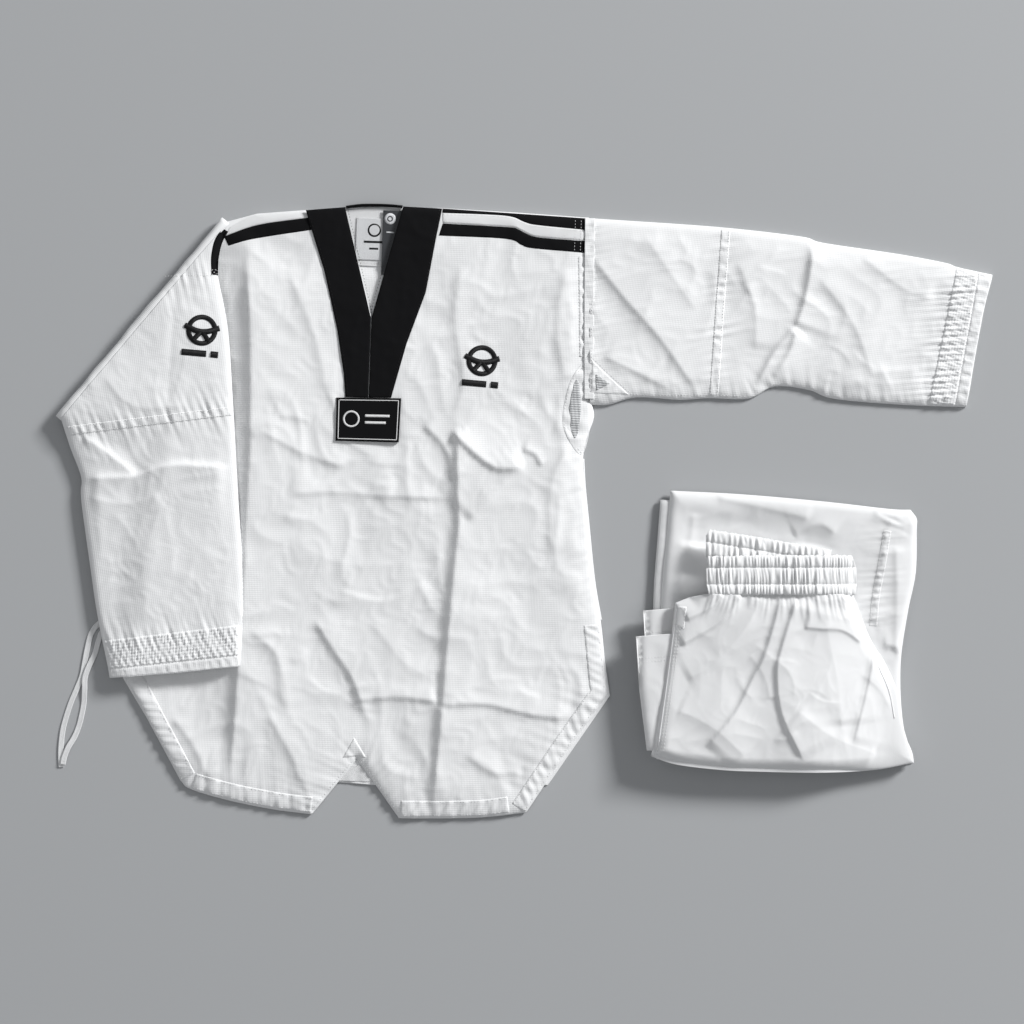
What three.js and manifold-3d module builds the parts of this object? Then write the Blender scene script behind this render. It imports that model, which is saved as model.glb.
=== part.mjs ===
// A taekwondo uniform laid out on a flat surface: a V-neck pullover jacket with its left sleeve
// spread and its right sleeve folded over the body, and the folded trousers beside it.
// Left and right are the wearer's. The jacket lies front up with the hem towards -Y.
import * as THREE from 'three';
import { mergeVertices } from 'three/addons/utils/BufferGeometryUtils.js';
import Module from 'manifold-3d';

const wasm = await Module();
wasm.setup();

// ---------------------------------------------------------------- driving dimensions, in mm

// Cloth and the way layers lie on each other
const clothThickness = 1.6;
const airGap = 5.6;             // air between the two walls of the body or of a sleeve
const trimThickness = 0.9;      // tapes, facings, bands and labels
const layerGap = 0.3;           // clearance between pieces that touch

// Jacket body, measured from the middle of the neck at the shoulder line
const jacketX = -168.3;
const jacketY = 337;
const jacketTurn = -1.96;       // degrees that the jacket lies turned on the surface
const shoulderHalf = 236;       // neck middle to the armhole seam
const armholeDepth = 199;
const armholeLean = 6.5;        // how far the armhole runs outwards on its way down
const underarmFlare = 2;        // how far the underarm lies outside the top of the armhole
const underarmDepth = 271;
const ventFlare = 38;           // how far the lower corner of the side vent lies outside it
const ventDepth = 530;
const ventTop = 448;            // where the side seam ends and the vent begins
const hemTaper = 47;            // how far the end of the hem lies inside it
const frontLength = 674;
const hemRiseLeft = 11;
const hemRiseRight = 24;
const notchHalf = 47;
const notchHeight = 64;
const backLength = 638;
const backPeek = 4;             // how far the back panel shows past the front one at the sides
const foldDrawIn = 18;          // how far the right side is drawn in by its folded sleeve

// Collar, patch and the pieces inside the neck
const neckHalf = 31;
const neckDepth = 124;
const collarWidth = 43;
const collarFootHalf = 25;
const collarBulgeLeft = 4;      // how far each collar band's outer edge stands out
const collarBulgeRight = -5;
const patchWidth = 71;
const patchHeight = 48;
const patchTop = 212;
const facingDepth = 67;
const labelWidth = 48;
const labelHeight = 46;
const tagWidth = 40;
const tagHeight = 71;

// Tapes along the shoulders
const blackTapeWidth = 13;
const whiteTapeWidth = 10.5;
const tapeStep = 10;            // the tapes step down halfway along the left shoulder

// Facings, bands and emblems
const facingWidth = 19;
const armholeBandWidth = 10;
const seamBandWidth = 10;
const emblemWidth = 40;
const emblemHeight = 54;

// Sleeves, from the armhole seam to the elbow crease and from there to the cuff
const leftSleeveTurn = -5.7;
const rightSleeveTurn = 183.1;  // direction of the right sleeve before it is folded over
const upperLength = 240;
const forearmLength = 207;
const elbowDepth = 168;
const cuffDepth = 149;
const leftElbowBend = -4.8;
const rightElbowBend = -5.7;
const rightTakeUp = 14;         // length that the creases of the folded sleeve take up
const rightCuffSlant = 12;      // how much further its cuff reaches on the underarm side
const seamBandPlace = 150;
const quiltWidth = 27;
const cuffHemWidth = 15;

// The fold across the right shoulder
const foldStart = 166;          // from the neck middle along the shoulder
const foldDrop = 24;
const foldAngle = -130;
const rightShoulderDrop = 50;

// Side ties: two flat tapes that leave the right vent
const tieWidth = 6;
const tieThickness = 1.2;

// Trousers, from the lower left corner of the folded bundle
const bundleGap = 36.3;         // from the jacket's side vent to the bundle
const trousersY = -276;
const bundleWidth = 282;
const bundleHeight = 299;
const bundleSlope = 21;         // drop of the top fold from left to right
const pressedLeg = 3.2;         // two pressed walls of one leg
const legEndWidth = 200;
const legEndHeight = 139;
const legEndStep = 28;          // how much further up the left leg's end reaches
const bandLength = 163;
const bandHeight = 43;
const bandThickness = 3.2;
const bandX = 53;
const bandY = 185;
const waistAir = 8;
const pocketLength = 24;

// ---------------------------------------------------------------- widths that follow the shoulder

const underarmHalf = shoulderHalf + underarmFlare;
const ventHalf = shoulderHalf + ventFlare;
const hemHalf = shoulderHalf - hemTaper;
const trousersX = jacketX + ventHalf + bundleGap;

// ---------------------------------------------------------------- levels above the surface

const frontLevel = clothThickness + airGap;
const trimLevel = frontLevel + clothThickness + layerGap;
const patchLevel = trimLevel + trimThickness + layerGap;
const foldedLevel = patchLevel;
const foldedTopLevel = foldedLevel + clothThickness + airGap;
const foldedTrimLevel = foldedTopLevel + clothThickness + layerGap;
const facingLevel = clothThickness + layerGap;
const labelLevel = facingLevel + trimThickness + layerGap;
const tagLevel = labelLevel + trimThickness + layerGap;

// ---------------------------------------------------------------- materials

function cloth(color, roughness = 0.9) {
  return new THREE.MeshStandardMaterial({ color, roughness, metalness: 0 });
}

const whiteCloth = cloth(0xf2f2f0);
const whiteTrim = cloth(0xe9e9e6);
const liningCloth = cloth(0xdfe0de);
const blackCloth = cloth(0x111113, 0.8);
const meshCloth = cloth(0xcfd1d0);
const labelCloth = cloth(0xdcdcdc, 0.6);
const tagCard = cloth(0x3a3c3f, 0.5);
const twillCloth = cloth(0xeeeeec, 0.8);

// ---------------------------------------------------------------- shape tools

const radians = THREE.MathUtils.degToRad;

// Points from start to end on a shallow arc that stands out by sagitta to the left of the way.
function bow(start, end, sagitta, steps = 6) {
  const length = Math.hypot(end[0] - start[0], end[1] - start[1]);
  const left = [-(end[1] - start[1]) / length, (end[0] - start[0]) / length];
  const points = [];
  for (let i = 0; i <= steps; i += 1) {
    const t = i / steps;
    const rise = 4 * sagitta * t * (1 - t);
    const x = start[0] + (end[0] - start[0]) * t + left[0] * rise;
    const y = start[1] + (end[1] - start[1]) * t + left[1] * rise;
    points.push([x, y]);
  }
  return points;
}

// A copy of an open path moved sideways, to the left of its way when distance is positive.
function besidePath(path, distance) {
  return path.map(([x, y], i) => {
    const before = path[Math.max(i - 1, 0)];
    const after = path[Math.min(i + 1, path.length - 1)];
    const run = new THREE.Vector2(after[0] - before[0], after[1] - before[1]).normalize();
    return [x - run.y * distance, y + run.x * distance];
  });
}

// The outline of a band that runs along a path, from one sideways distance to another.
function band(path, from, to) {
  return [...besidePath(path, from), ...besidePath(path, to).reverse()];
}

// A closed outline grown by a clearance on every side, the outline going anticlockwise.
function grown(outline, clearance) {
  const count = outline.length;
  return outline.map(([x, y], i) => {
    const before = outline[(i + count - 1) % count];
    const after = outline[(i + 1) % count];
    const inRun = new THREE.Vector2(x - before[0], y - before[1]).normalize();
    const outRun = new THREE.Vector2(after[0] - x, after[1] - y).normalize();
    const mitre = new THREE.Vector2(inRun.y + outRun.y, -inRun.x - outRun.x);
    const scale = 2 / Math.max(mitre.lengthSq(), 0.8);
    return [x + mitre.x * scale * clearance, y + mitre.y * scale * clearance];
  });
}

function slab(outline, bottom, thickness) {
  const shape = new THREE.Shape(outline.map(([x, y]) => new THREE.Vector2(x, y)));
  const geometry = new THREE.ExtrudeGeometry(shape, { depth: thickness, bevelEnabled: false });
  return geometry.translate(0, 0, bottom);
}

function ellipse(centreX, centreY, width, height, sides = 24) {
  const points = [];
  for (let i = 0; i < sides; i += 1) {
    const angle = (2 * Math.PI * i) / sides;
    points.push([centreX + (width / 2) * Math.cos(angle), centreY + (height / 2) * Math.sin(angle)]);
  }
  return points;
}

function box(left, bottom, width, height) {
  return [[left, bottom], [left + width, bottom], [left + width, bottom + height], [left, bottom + height]];
}

function solidOf(geometry) {
  const bare = geometry.clone();
  bare.deleteAttribute('normal');
  bare.deleteAttribute('uv');
  const merged = mergeVertices(bare, 1e-4);
  const vertProperties = new Float32Array(merged.attributes.position.array);
  const triVerts = new Uint32Array(merged.index.array);
  return new wasm.Manifold(new wasm.Mesh({ numProp: 3, vertProperties, triVerts }));
}

function geometryOf(solid) {
  const mesh = solid.getMesh();
  const geometry = new THREE.BufferGeometry();
  geometry.setAttribute('position', new THREE.BufferAttribute(new Float32Array(mesh.vertProperties), 3));
  geometry.setIndex(new THREE.BufferAttribute(new Uint32Array(mesh.triVerts), 1));
  geometry.computeVertexNormals();
  return geometry;
}

function joined(...geometries) {
  return geometryOf(geometries.map(solidOf).reduce((whole, piece) => whole.add(piece)));
}

function without(geometry, ...tools) {
  return geometryOf(tools.map(solidOf).reduce((whole, tool) => whole.subtract(tool), solidOf(geometry)));
}

function node(parent, name, geometry, material) {
  const mesh = new THREE.Mesh(geometry, material);
  mesh.name = name;
  parent.add(mesh);
}

// ---------------------------------------------------------------- jacket outlines

const leftArmholeTop = [shoulderHalf, -5];
const leftArmholeFoot = [shoulderHalf + armholeLean, -5 - armholeDepth];
const leftArmpit = [leftArmholeFoot[0] + 8, leftArmholeFoot[1] - 20];
const leftUnderarm = [underarmHalf, -underarmDepth];
const sideSlope = (ventHalf - underarmHalf) / (ventDepth - underarmDepth);
const leftVentTop = [underarmHalf + sideSlope * (ventTop - underarmDepth), -ventTop];
const leftVentCorner = [ventHalf, -ventDepth];
const leftVentFoot = [hemHalf, hemRiseLeft - frontLength];
const notchFoot = [notchHalf, -frontLength];
const notchTip = [0, notchHeight - frontLength];

const rightShoulder = [foldDrawIn + 4 - shoulderHalf, -rightShoulderDrop];
const rightUnderarm = [foldDrawIn - underarmHalf, -underarmDepth];
const rightVentTop = [foldDrawIn - leftVentTop[0], -ventTop];
const rightVentCorner = [foldDrawIn - ventHalf, -ventDepth];
const rightVentFoot = [-hemHalf, hemRiseRight - frontLength];

// The fold line runs from the right shoulder down to the right. Below it lies the body, and the
// cloth past it is turned over on top. It is given in the jacket's own frame.
const foldHigh = [-foldStart, -foldDrop];
const foldRun = radians(foldAngle - jacketTurn);
const foldWay = [Math.cos(foldRun), Math.sin(foldRun)];
const onFold = (distance) => [foldHigh[0] + foldWay[0] * distance, foldHigh[1] + foldWay[1] * distance];

// The point at the same place on the cloth once it is turned over the fold line.
function turnedOver([x, y]) {
  const along = (x - foldHigh[0]) * foldWay[0] + (y - foldHigh[1]) * foldWay[1];
  return [2 * (foldHigh[0] + along * foldWay[0]) - x, 2 * (foldHigh[1] + along * foldWay[1]) - y];
}

// Where the fold line meets the line through two points.
function foldMeets([ax, ay], [bx, by]) {
  const run = [bx - ax, by - ay];
  const cross = foldWay[0] * run[1] - foldWay[1] * run[0];
  const distance = ((ax - foldHigh[0]) * run[1] - (ay - foldHigh[1]) * run[0]) / cross;
  return onFold(distance);
}

const sleeveRun = radians(rightSleeveTurn - jacketTurn);
const underarmWay = [Math.sin(sleeveRun), -Math.cos(sleeveRun)];
const rightArmpit = [rightShoulder[0] - armholeLean, rightShoulder[1] - armholeDepth];
const underElbowFlat = [
  rightShoulder[0] + (upperLength - rightTakeUp) * Math.cos(sleeveRun) - elbowDepth * underarmWay[0],
  rightShoulder[1] + (upperLength - rightTakeUp) * Math.sin(sleeveRun) - elbowDepth * underarmWay[1],
];
const foldAtArmhole = foldMeets(rightShoulder, rightArmpit);
const foldAtUnderarm = foldMeets(rightArmpit, underElbowFlat);

const leftSideEdge = bow(leftVentCorner, leftUnderarm, -3, 4);
const leftArmpitEdge = bow(leftUnderarm, leftArmpit, 4, 4);
const rightSideEdge = bow(rightUnderarm, rightVentCorner, -3, 4);
const leftHemEdge = bow(notchFoot, leftVentFoot, -2, 3);
const rightHemEdge = bow(rightVentFoot, [-notchHalf, -frontLength], -3, 3);
const collarTop = neckHalf + collarWidth;

const bodySides = [
  ...leftSideEdge,
  ...leftArmpitEdge.slice(1),
  leftArmholeFoot,
  leftArmholeTop,
];
const foldedSide = [
  foldHigh,
  foldAtArmhole,
  rightArmpit,
  ...rightSideEdge,
];

const frontOutline = [
  notchTip,
  ...leftHemEdge,
  ...bodySides,
  [collarTop, 0],
  [neckHalf + 2, 0],
  [0, -neckDepth - 2],
  [-neckHalf - 2, -3],
  [-collarTop, -8],
  ...foldedSide,
  ...rightHemEdge,
];

const backOutline = [
  [hemHalf + backPeek + 16, -backLength],
  [ventHalf + backPeek, -ventDepth],
  ...bodySides.slice(4),
  [collarTop, 0],
  [-collarTop, -8],
  ...foldedSide.slice(0, 3),
  rightUnderarm,
  [rightVentCorner[0] - backPeek, -ventDepth],
  [-hemHalf - backPeek - 8, 8 - backLength],
];

// ---------------------------------------------------------------- jacket body

const jacket = new THREE.Group();
jacket.position.set(jacketX, jacketY, 0);
jacket.rotation.z = radians(jacketTurn);

// The gusset under the left arm, a curved insert with a window of airy mesh
const gussetTop = [leftArmholeTop[0] + 4, -161];
const gussetOutline = [
  gussetTop,
  ...bow([gussetTop[0] - 20, gussetTop[1] - 23], [gussetTop[0] - 8, -underarmDepth + 10], -10, 4),
  [leftUnderarm[0] - 3, leftUnderarm[1] + 10],
  [leftArmpit[0] - 6, leftArmpit[1] - 3],
  [leftArmholeFoot[0] - 2, leftArmholeFoot[1] + 4],
];
const meshOutline = ellipse(gussetTop[0] - 12, gussetTop[1] - 52, 12, 62, 16);

function addPanels() {
  const front = slab(frontOutline, frontLevel, clothThickness);
  const gussetHole = slab(grown(gussetOutline, layerGap), frontLevel - 1, clothThickness + 2);
  node(jacket, 'front_panel', without(front, gussetHole), whiteCloth);
  node(jacket, 'back_panel', slab(backOutline, 0, clothThickness), whiteCloth);
  const gusset = slab(gussetOutline, frontLevel, clothThickness);
  const meshHole = slab(grown(meshOutline, layerGap), frontLevel - 1, clothThickness + 2);
  node(jacket, 'underarm_gusset_left', without(gusset, meshHole), whiteTrim);
  node(jacket, 'mesh_insert_left', slab(meshOutline, frontLevel, clothThickness), meshCloth);
}

// Strips that close the sides between the two panels, from the underarm to the top of each vent
function addSideSeams() {
  const wallHeight = airGap - 2 * layerGap;
  const leftPath = [leftVentTop, leftUnderarm];
  const rightPath = [rightUnderarm, rightVentTop];
  node(jacket, 'side_seam_left', slab(band(leftPath, 2, 5), facingLevel, wallHeight), whiteTrim);
  node(jacket, 'side_seam_right', slab(band(rightPath, 2, 5), facingLevel, wallHeight), whiteTrim);
}

function addCollar() {
  const rightBand = [
    [-neckHalf, -3],
    [-collarTop, -8],
    ...bow([-collarTop + 4, -29], [-collarFootHalf, -patchTop], -collarBulgeRight),
    [-layerGap / 2, -patchTop],
    [-layerGap / 2, -neckDepth],
  ];
  const leftBand = [
    [neckHalf, 0],
    [layerGap / 2, -neckDepth],
    [layerGap / 2, -patchTop],
    ...bow([collarFootHalf, -patchTop], [collarTop - 4, -29], -collarBulgeLeft),
    [collarTop, 0],
  ];
  node(jacket, 'collar_band_left', slab(leftBand, trimLevel, trimThickness), blackCloth);
  node(jacket, 'collar_band_right', slab(rightBand, trimLevel, trimThickness), blackCloth);
  const standHeight = trimLevel - facingLevel + trimThickness;
  const backBand = box(-neckHalf + 1, -2, 2 * neckHalf - 2, 3);
  node(jacket, 'collar_band_back', slab(backBand, facingLevel, standHeight), blackCloth);
  const patch = box(-patchWidth / 2, -patchTop - patchHeight, patchWidth, patchHeight);
  node(jacket, 'front_patch', slab(patch, patchLevel, trimThickness), blackCloth);
}

// The facing that lines the back of the neck, and the woven size label sewn to it
function addNeckLining() {
  const facing = [
    [-collarTop + 8, -10],
    ...bow([-collarTop + 8, -facingDepth + 6], [collarTop - 8, -facingDepth + 6], -6, 8),
    [collarTop - 8, -4],
    [neckHalf + 4, -3],
    [-neckHalf - 4, -3],
  ];
  node(jacket, 'back_neck_facing', slab(facing, facingLevel, trimThickness), liningCloth);
  const label = box(-20, -14 - labelHeight, labelWidth, labelHeight);
  node(jacket, 'size_label', slab(label, labelLevel, trimThickness), labelCloth);
}

// Two black tapes with a white one between them run over each shoulder
function addShoulderTapes() {
  const leftPath = [
    [shoulderHalf - 3, -10 - tapeStep],
    [shoulderHalf - 60, -7 - tapeStep],
    [shoulderHalf - 80, -7],
    [collarTop + 2, -7],
  ];
  const rightPath = [
    [-collarTop - 2, -9],
    [-foldStart + 34, -14],
    [-foldStart + 5, -30],
  ];
  const whiteEdge = whiteTapeWidth;
  const blackEdge = whiteEdge + layerGap + blackTapeWidth;
  const stripe = (name, path, from, to, material) => {
    node(jacket, name, slab(band(path, from, to), trimLevel, trimThickness), material);
  };
  stripe('shoulder_tape_white_left', leftPath, 0, whiteEdge, whiteTrim);
  stripe('shoulder_tape_black_left', leftPath, whiteEdge + layerGap, blackEdge, blackCloth);
  const backTape = [
    ...besidePath(leftPath, -layerGap),
    [collarTop + 2, 0],
    [shoulderHalf - 3, -6],
  ];
  node(jacket, 'shoulder_tape_back_left', slab(backTape, trimLevel, trimThickness), blackCloth);
  stripe('shoulder_tape_white_right', rightPath, 0, whiteEdge, whiteTrim);
  stripe('shoulder_tape_black_right', rightPath, whiteEdge + layerGap, blackEdge, blackCloth);
}

function addFacings() {
  const leftVentPath = [leftVentFoot, leftVentCorner, leftVentTop];
  const rightVentPath = [rightVentTop, rightVentCorner, rightVentFoot];
  const strip = (path, width) => slab(band(path, 1, width), trimLevel, trimThickness);
  const clearOf = (path) => slab(band(path, -4, facingWidth + layerGap), trimLevel - 1, trimThickness + 2);
  node(jacket, 'side_vent_facing_left', strip(leftVentPath, facingWidth), whiteTrim);
  node(jacket, 'side_vent_facing_right', strip(rightVentPath, facingWidth), whiteTrim);
  const leftHem = without(strip(leftHemEdge, facingWidth), clearOf(leftVentPath));
  const rightHem = without(strip(rightHemEdge, facingWidth), clearOf(rightVentPath));
  node(jacket, 'hem_facing_left', leftHem, whiteTrim);
  node(jacket, 'hem_facing_right', rightHem, whiteTrim);
  const notchGusset = [
    [-14, notchTip[1] + 1],
    [0, notchTip[1] + 3],
    [12, notchTip[1] + 2],
    [-3, notchTip[1] + 24],
  ];
  node(jacket, 'hem_notch_gusset', slab(notchGusset, trimLevel, trimThickness), whiteTrim);
  const backHem = box(20 - hemHalf, 2 - backLength + 8, 2 * hemHalf - 40, facingWidth);
  node(jacket, 'back_hem_facing', slab(backHem, facingLevel, trimThickness), liningCloth);
}

function addArmholeBand() {
  const low = [leftArmholeFoot[0] - 1.5, gussetTop[1] + 2];
  const high = [leftArmholeTop[0] - 1.5, leftArmholeTop[1] - 43];
  const strip = band([low, high], 1, armholeBandWidth);
  node(jacket, 'armhole_band_left', slab(strip, trimLevel, trimThickness), whiteTrim);
}

function addChestEmblem() {
  const emblem = ellipse(123, -175, emblemWidth, emblemHeight);
  node(jacket, 'chest_emblem', slab(emblem, trimLevel, trimThickness), blackCloth);
}

// The part of the right sleeve between the armhole and the fold, closed along the underarm
function addSleeveStub() {
  const inset = 1;
  const high = [foldAtArmhole[0] - inset, foldAtArmhole[1] - 2 * inset];
  const low = [foldAtUnderarm[0] + 2 * inset, foldAtUnderarm[1]];
  const foot = [rightArmpit[0] - inset, rightArmpit[1]];
  const outline = [high, low, foot];
  const wall = band([foot, low], -clothThickness, 0);
  const stub = joined(
    slab(outline, 0, clothThickness),
    slab(outline, frontLevel, clothThickness),
    slab(wall, 0, frontLevel + clothThickness),
  );
  node(jacket, 'right_sleeve_stub', stub, whiteCloth);
}

addPanels();
addSideSeams();
addCollar();
addNeckLining();
addShoulderTapes();
addFacings();
addArmholeBand();
addChestEmblem();
addSleeveStub();

// ---------------------------------------------------------------- hang tag

// A card on a string loop that lies in the neck and swings about the loop
function addHangTag() {
  const left = 9;
  const top = -5;
  const card = slab(box(left, top - tagHeight, tagWidth, tagHeight), tagLevel, trimThickness);
  const eyelet = slab(ellipse(left + 8, top - 9, 4, 4, 12), tagLevel - 1, trimThickness + 2);
  node(jacket, 'hang_tag', without(card, eyelet), tagCard);
}

addHangTag();

// ---------------------------------------------------------------- sleeves

// A sleeve lies with its crest along +X from the armhole and its underarm seam towards -Y. Each
// half is an L: the top half turns down at the crest, the bottom half turns up at the underarm.
function addHalves(group, names, crest, underarm, outline, level) {
  const topLevel = level + clothThickness + airGap;
  const wallHeight = airGap - layerGap + 1;
  const crestFoot = level + clothThickness + layerGap;
  const crestWall = slab(band(crest, -clothThickness, 0), crestFoot, wallHeight);
  const underWall = slab(band(underarm, 0, clothThickness), level + clothThickness - 1, wallHeight);
  node(group, names[0], joined(slab(outline, topLevel, clothThickness), crestWall), whiteCloth);
  node(group, names[1], joined(slab(outline, level, clothThickness), underWall), whiteCloth);
}

// The elbow crease halves the angle between the two parts of a sleeve. This is how far its
// underarm end lies from a line square to the crest.
const elbowSlant = (bend) => elbowDepth * Math.tan(-radians(bend) / 2);

function addForearm(group, names, bend, slant, level) {
  const start = layerGap;
  const crest = bow([start, 0], [forearmLength, 0], 2, 4);
  const elbow = [start + elbowSlant(bend), -elbowDepth];
  const underarm = bow(elbow, [forearmLength + slant, -cuffDepth], -4, 4);
  addHalves(group, names, crest, underarm, [...crest, ...underarm.slice().reverse()], level);
  const trim = level + frontLevel + clothThickness + layerGap;
  const hemStart = forearmLength - cuffHemWidth;
  const quiltStart = hemStart - quiltWidth;
  const acrossCuff = (place, width) => [
    [place, -1],
    [place + slant, 1 - cuffDepth],
    [place + slant + width, 1 - cuffDepth],
    [place + width, -1],
  ];
  const quilt = acrossCuff(quiltStart, quiltWidth - layerGap);
  const hem = acrossCuff(hemStart, cuffHemWidth);
  node(group, names[2], slab(quilt, trim, trimThickness), whiteTrim);
  node(group, names[3], slab(hem, trim, trimThickness), whiteTrim);
}

// The seam across the upper sleeve, covered by a stitched band of the given width
function seamBand(width) {
  const path = [[seamBandPlace + 5, -width], [seamBandPlace, -2]];
  return band(path, -seamBandWidth / 2, seamBandWidth / 2);
}

// Left sleeve, spread out to the side
const leftSleeve = new THREE.Group();
leftSleeve.position.set(leftArmholeTop[0] + 1, leftArmholeTop[1], 0);
leftSleeve.rotation.z = radians(leftSleeveTurn - jacketTurn);
jacket.add(leftSleeve);

const armholeSlant = radians(leftSleeveTurn - jacketTurn);
const armholeFootX = armholeLean * Math.cos(armholeSlant) - armholeDepth * Math.sin(armholeSlant);
const armholeFootY = -armholeLean * Math.sin(armholeSlant) - armholeDepth * Math.cos(armholeSlant);

function addLeftUpperSleeve() {
  const end = upperLength - layerGap;
  const crest = bow([0, 0], [end, 0], 3, 5);
  const elbow = [end - elbowSlant(leftElbowBend), -elbowDepth];
  const underarm = bow([armholeFootX, armholeFootY], elbow, -8, 6);
  const outline = [...crest, ...underarm.slice().reverse()];
  addHalves(leftSleeve, ['left_sleeve_front', 'left_sleeve_back'], crest, underarm, outline, 0);
  const width = elbowDepth + 14;
  node(leftSleeve, 'left_sleeve_seam_band', slab(seamBand(width), trimLevel, trimThickness), whiteTrim);
  const gusset = [
    [armholeFootX - 2, armholeFootY + 42],
    [armholeFootX + 1, armholeFootY + 5],
    [armholeFootX + 50, armholeFootY + 9],
    [armholeFootX + 26, armholeFootY + 26],
  ];
  node(leftSleeve, 'left_sleeve_gusset', slab(gusset, trimLevel, trimThickness), meshCloth);
}

addLeftUpperSleeve();
const leftForearm = new THREE.Group();
leftForearm.position.set(upperLength, 0, 0);
leftForearm.rotation.z = radians(leftElbowBend);
leftSleeve.add(leftForearm);
addForearm(
  leftForearm,
  ['left_forearm_front', 'left_forearm_back', 'left_cuff_quilting', 'left_cuff_hem'],
  leftElbowBend,
  0,
  0,
);

// Right sleeve, turned over the fold so that its back half is on top. Its crest starts at the
// turned-over shoulder point and runs down over the body.
const turnedShoulder = turnedOver(rightShoulder);
const foldedTurn = 2 * foldRun - sleeveRun;
const rightSleeve = new THREE.Group();
rightSleeve.position.set(turnedShoulder[0], turnedShoulder[1], 0);
rightSleeve.rotation.z = foldedTurn;
jacket.add(rightSleeve);

function toRightSleeve([x, y]) {
  const dx = x - turnedShoulder[0];
  const dy = y - turnedShoulder[1];
  return [
    dx * Math.cos(foldedTurn) + dy * Math.sin(foldedTurn),
    -dx * Math.sin(foldedTurn) + dy * Math.cos(foldedTurn),
  ];
}

const rightUpperLength = upperLength - rightTakeUp;

function addRightUpperSleeve() {
  const clear = ([x, y]) => [x - foldWay[1] * 2 * layerGap, y + foldWay[0] * 2 * layerGap];
  const high = toRightSleeve(clear(onFold(2)));
  const low = toRightSleeve(clear(foldAtUnderarm));
  const end = rightUpperLength - layerGap;
  const crest = bow([0, 0], [end, 0], 4, 5);
  const underarm = bow(low, [end - elbowSlant(rightElbowBend), -elbowDepth], 2, 3);
  const outline = [high, ...crest, ...underarm.slice().reverse()];
  const names = ['right_sleeve_back', 'right_sleeve_front'];
  addHalves(rightSleeve, names, crest, underarm, outline, foldedLevel);
  const seam = slab(seamBand(elbowDepth + 8), foldedTrimLevel, trimThickness);
  node(rightSleeve, 'right_sleeve_seam_band', seam, whiteTrim);
  const turnedTape = [
    [high[0] + 9, high[1] - 5],
    [high[0] + 14, high[1] - 9],
    [3, -8],
    [3, -1],
  ];
  node(rightSleeve, 'shoulder_tape_turned', slab(turnedTape, foldedTrimLevel, trimThickness), blackCloth);
  const emblem = ellipse(70, -2 - emblemWidth / 2, emblemHeight, emblemWidth);
  node(rightSleeve, 'sleeve_emblem', slab(emblem, foldedTrimLevel, trimThickness), blackCloth);
}

addRightUpperSleeve();
const rightForearm = new THREE.Group();
rightForearm.position.set(rightUpperLength, 0, 0);
rightForearm.rotation.z = radians(rightElbowBend);
rightSleeve.add(rightForearm);
addForearm(
  rightForearm,
  ['right_forearm_back', 'right_forearm_front', 'right_cuff_quilting', 'right_cuff_hem'],
  rightElbowBend,
  rightCuffSlant,
  foldedLevel,
);

// ---------------------------------------------------------------- trousers

const trousers = new THREE.Group();
trousers.position.set(trousersX, trousersY, 0);

// One leg of the folded bundle: the top fold slopes, and the inner leg seam makes the right side
// hollow.
function legOutline(left, height, right) {
  return [
    [left - 20, 4],
    ...bow([left - 10, 2], [right, -4], -8, 4),
    [right - 14, height * 0.33],
    [right - 6, height * 0.56],
    [right + 6, height - bundleSlope - 20],
    [right - 3, height - bundleSlope],
    ...bow([right - 20, height - bundleSlope + 1], [left, height], 2, 4),
  ];
}

// Each leg is folded at the top, thigh below and shin above, the right leg inside the left one.
function foldedLeg(outline, thighLevel, shinLevel) {
  const topEdge = outline.slice(-5);
  return joined(
    slab(outline, thighLevel, pressedLeg),
    slab(outline, shinLevel, pressedLeg),
    slab(band(topEdge, 0, pressedLeg), thighLevel, shinLevel + pressedLeg - thighLevel),
  );
}

function addLegs() {
  const step = pressedLeg + layerGap;
  const outer = legOutline(15, bundleHeight, bundleWidth);
  const inner = legOutline(4, bundleHeight - 10, bundleWidth - 2);
  node(trousers, 'trouser_leg_left', foldedLeg(outer, 0, 3 * step), twillCloth);
  node(trousers, 'trouser_leg_right', foldedLeg(inner, step, 2 * step), twillCloth);
}

// The end of a leg is a flat tube, open at the hem and closed at the fold below
function legEnd(left, height, level) {
  const wallHeight = 2 * clothThickness + airGap;
  const right = left + legEndWidth;
  const outline = [[left + 14, 12], [right, 12], [right, height + 16], [left, height]];
  const bore = [
    [left + 22, 24],
    [right - 8, 24],
    [right - 8, height + 40],
    [left + 8, height + 40],
  ];
  return without(slab(outline, level, wallHeight), slab(bore, level + clothThickness, airGap));
}

const legEndLevel = 4 * (pressedLeg + layerGap);
const legEndStack = 2 * clothThickness + airGap + layerGap;
const waistLevel = legEndLevel + 2 * legEndStack;
const waistFrontLevel = waistLevel + clothThickness + waistAir;

function addLegEnds() {
  const left = legEnd(-16, legEndHeight + legEndStep, legEndLevel);
  const right = legEnd(-24, legEndHeight, legEndLevel + legEndStack);
  node(trousers, 'trouser_leg_end_left', left, twillCloth);
  node(trousers, 'trouser_leg_end_right', right, twillCloth);
}

// The puckered seam along the inside leg, on the shin that lies uppermost
function addInseam() {
  const path = [[bundleWidth - 38, bundleHeight - 116], [bundleWidth - 28, bundleHeight - 42]];
  node(trousers, 'trouser_inseam', slab(band(path, -5, 5), legEndLevel, trimThickness), whiteTrim);
}

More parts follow.
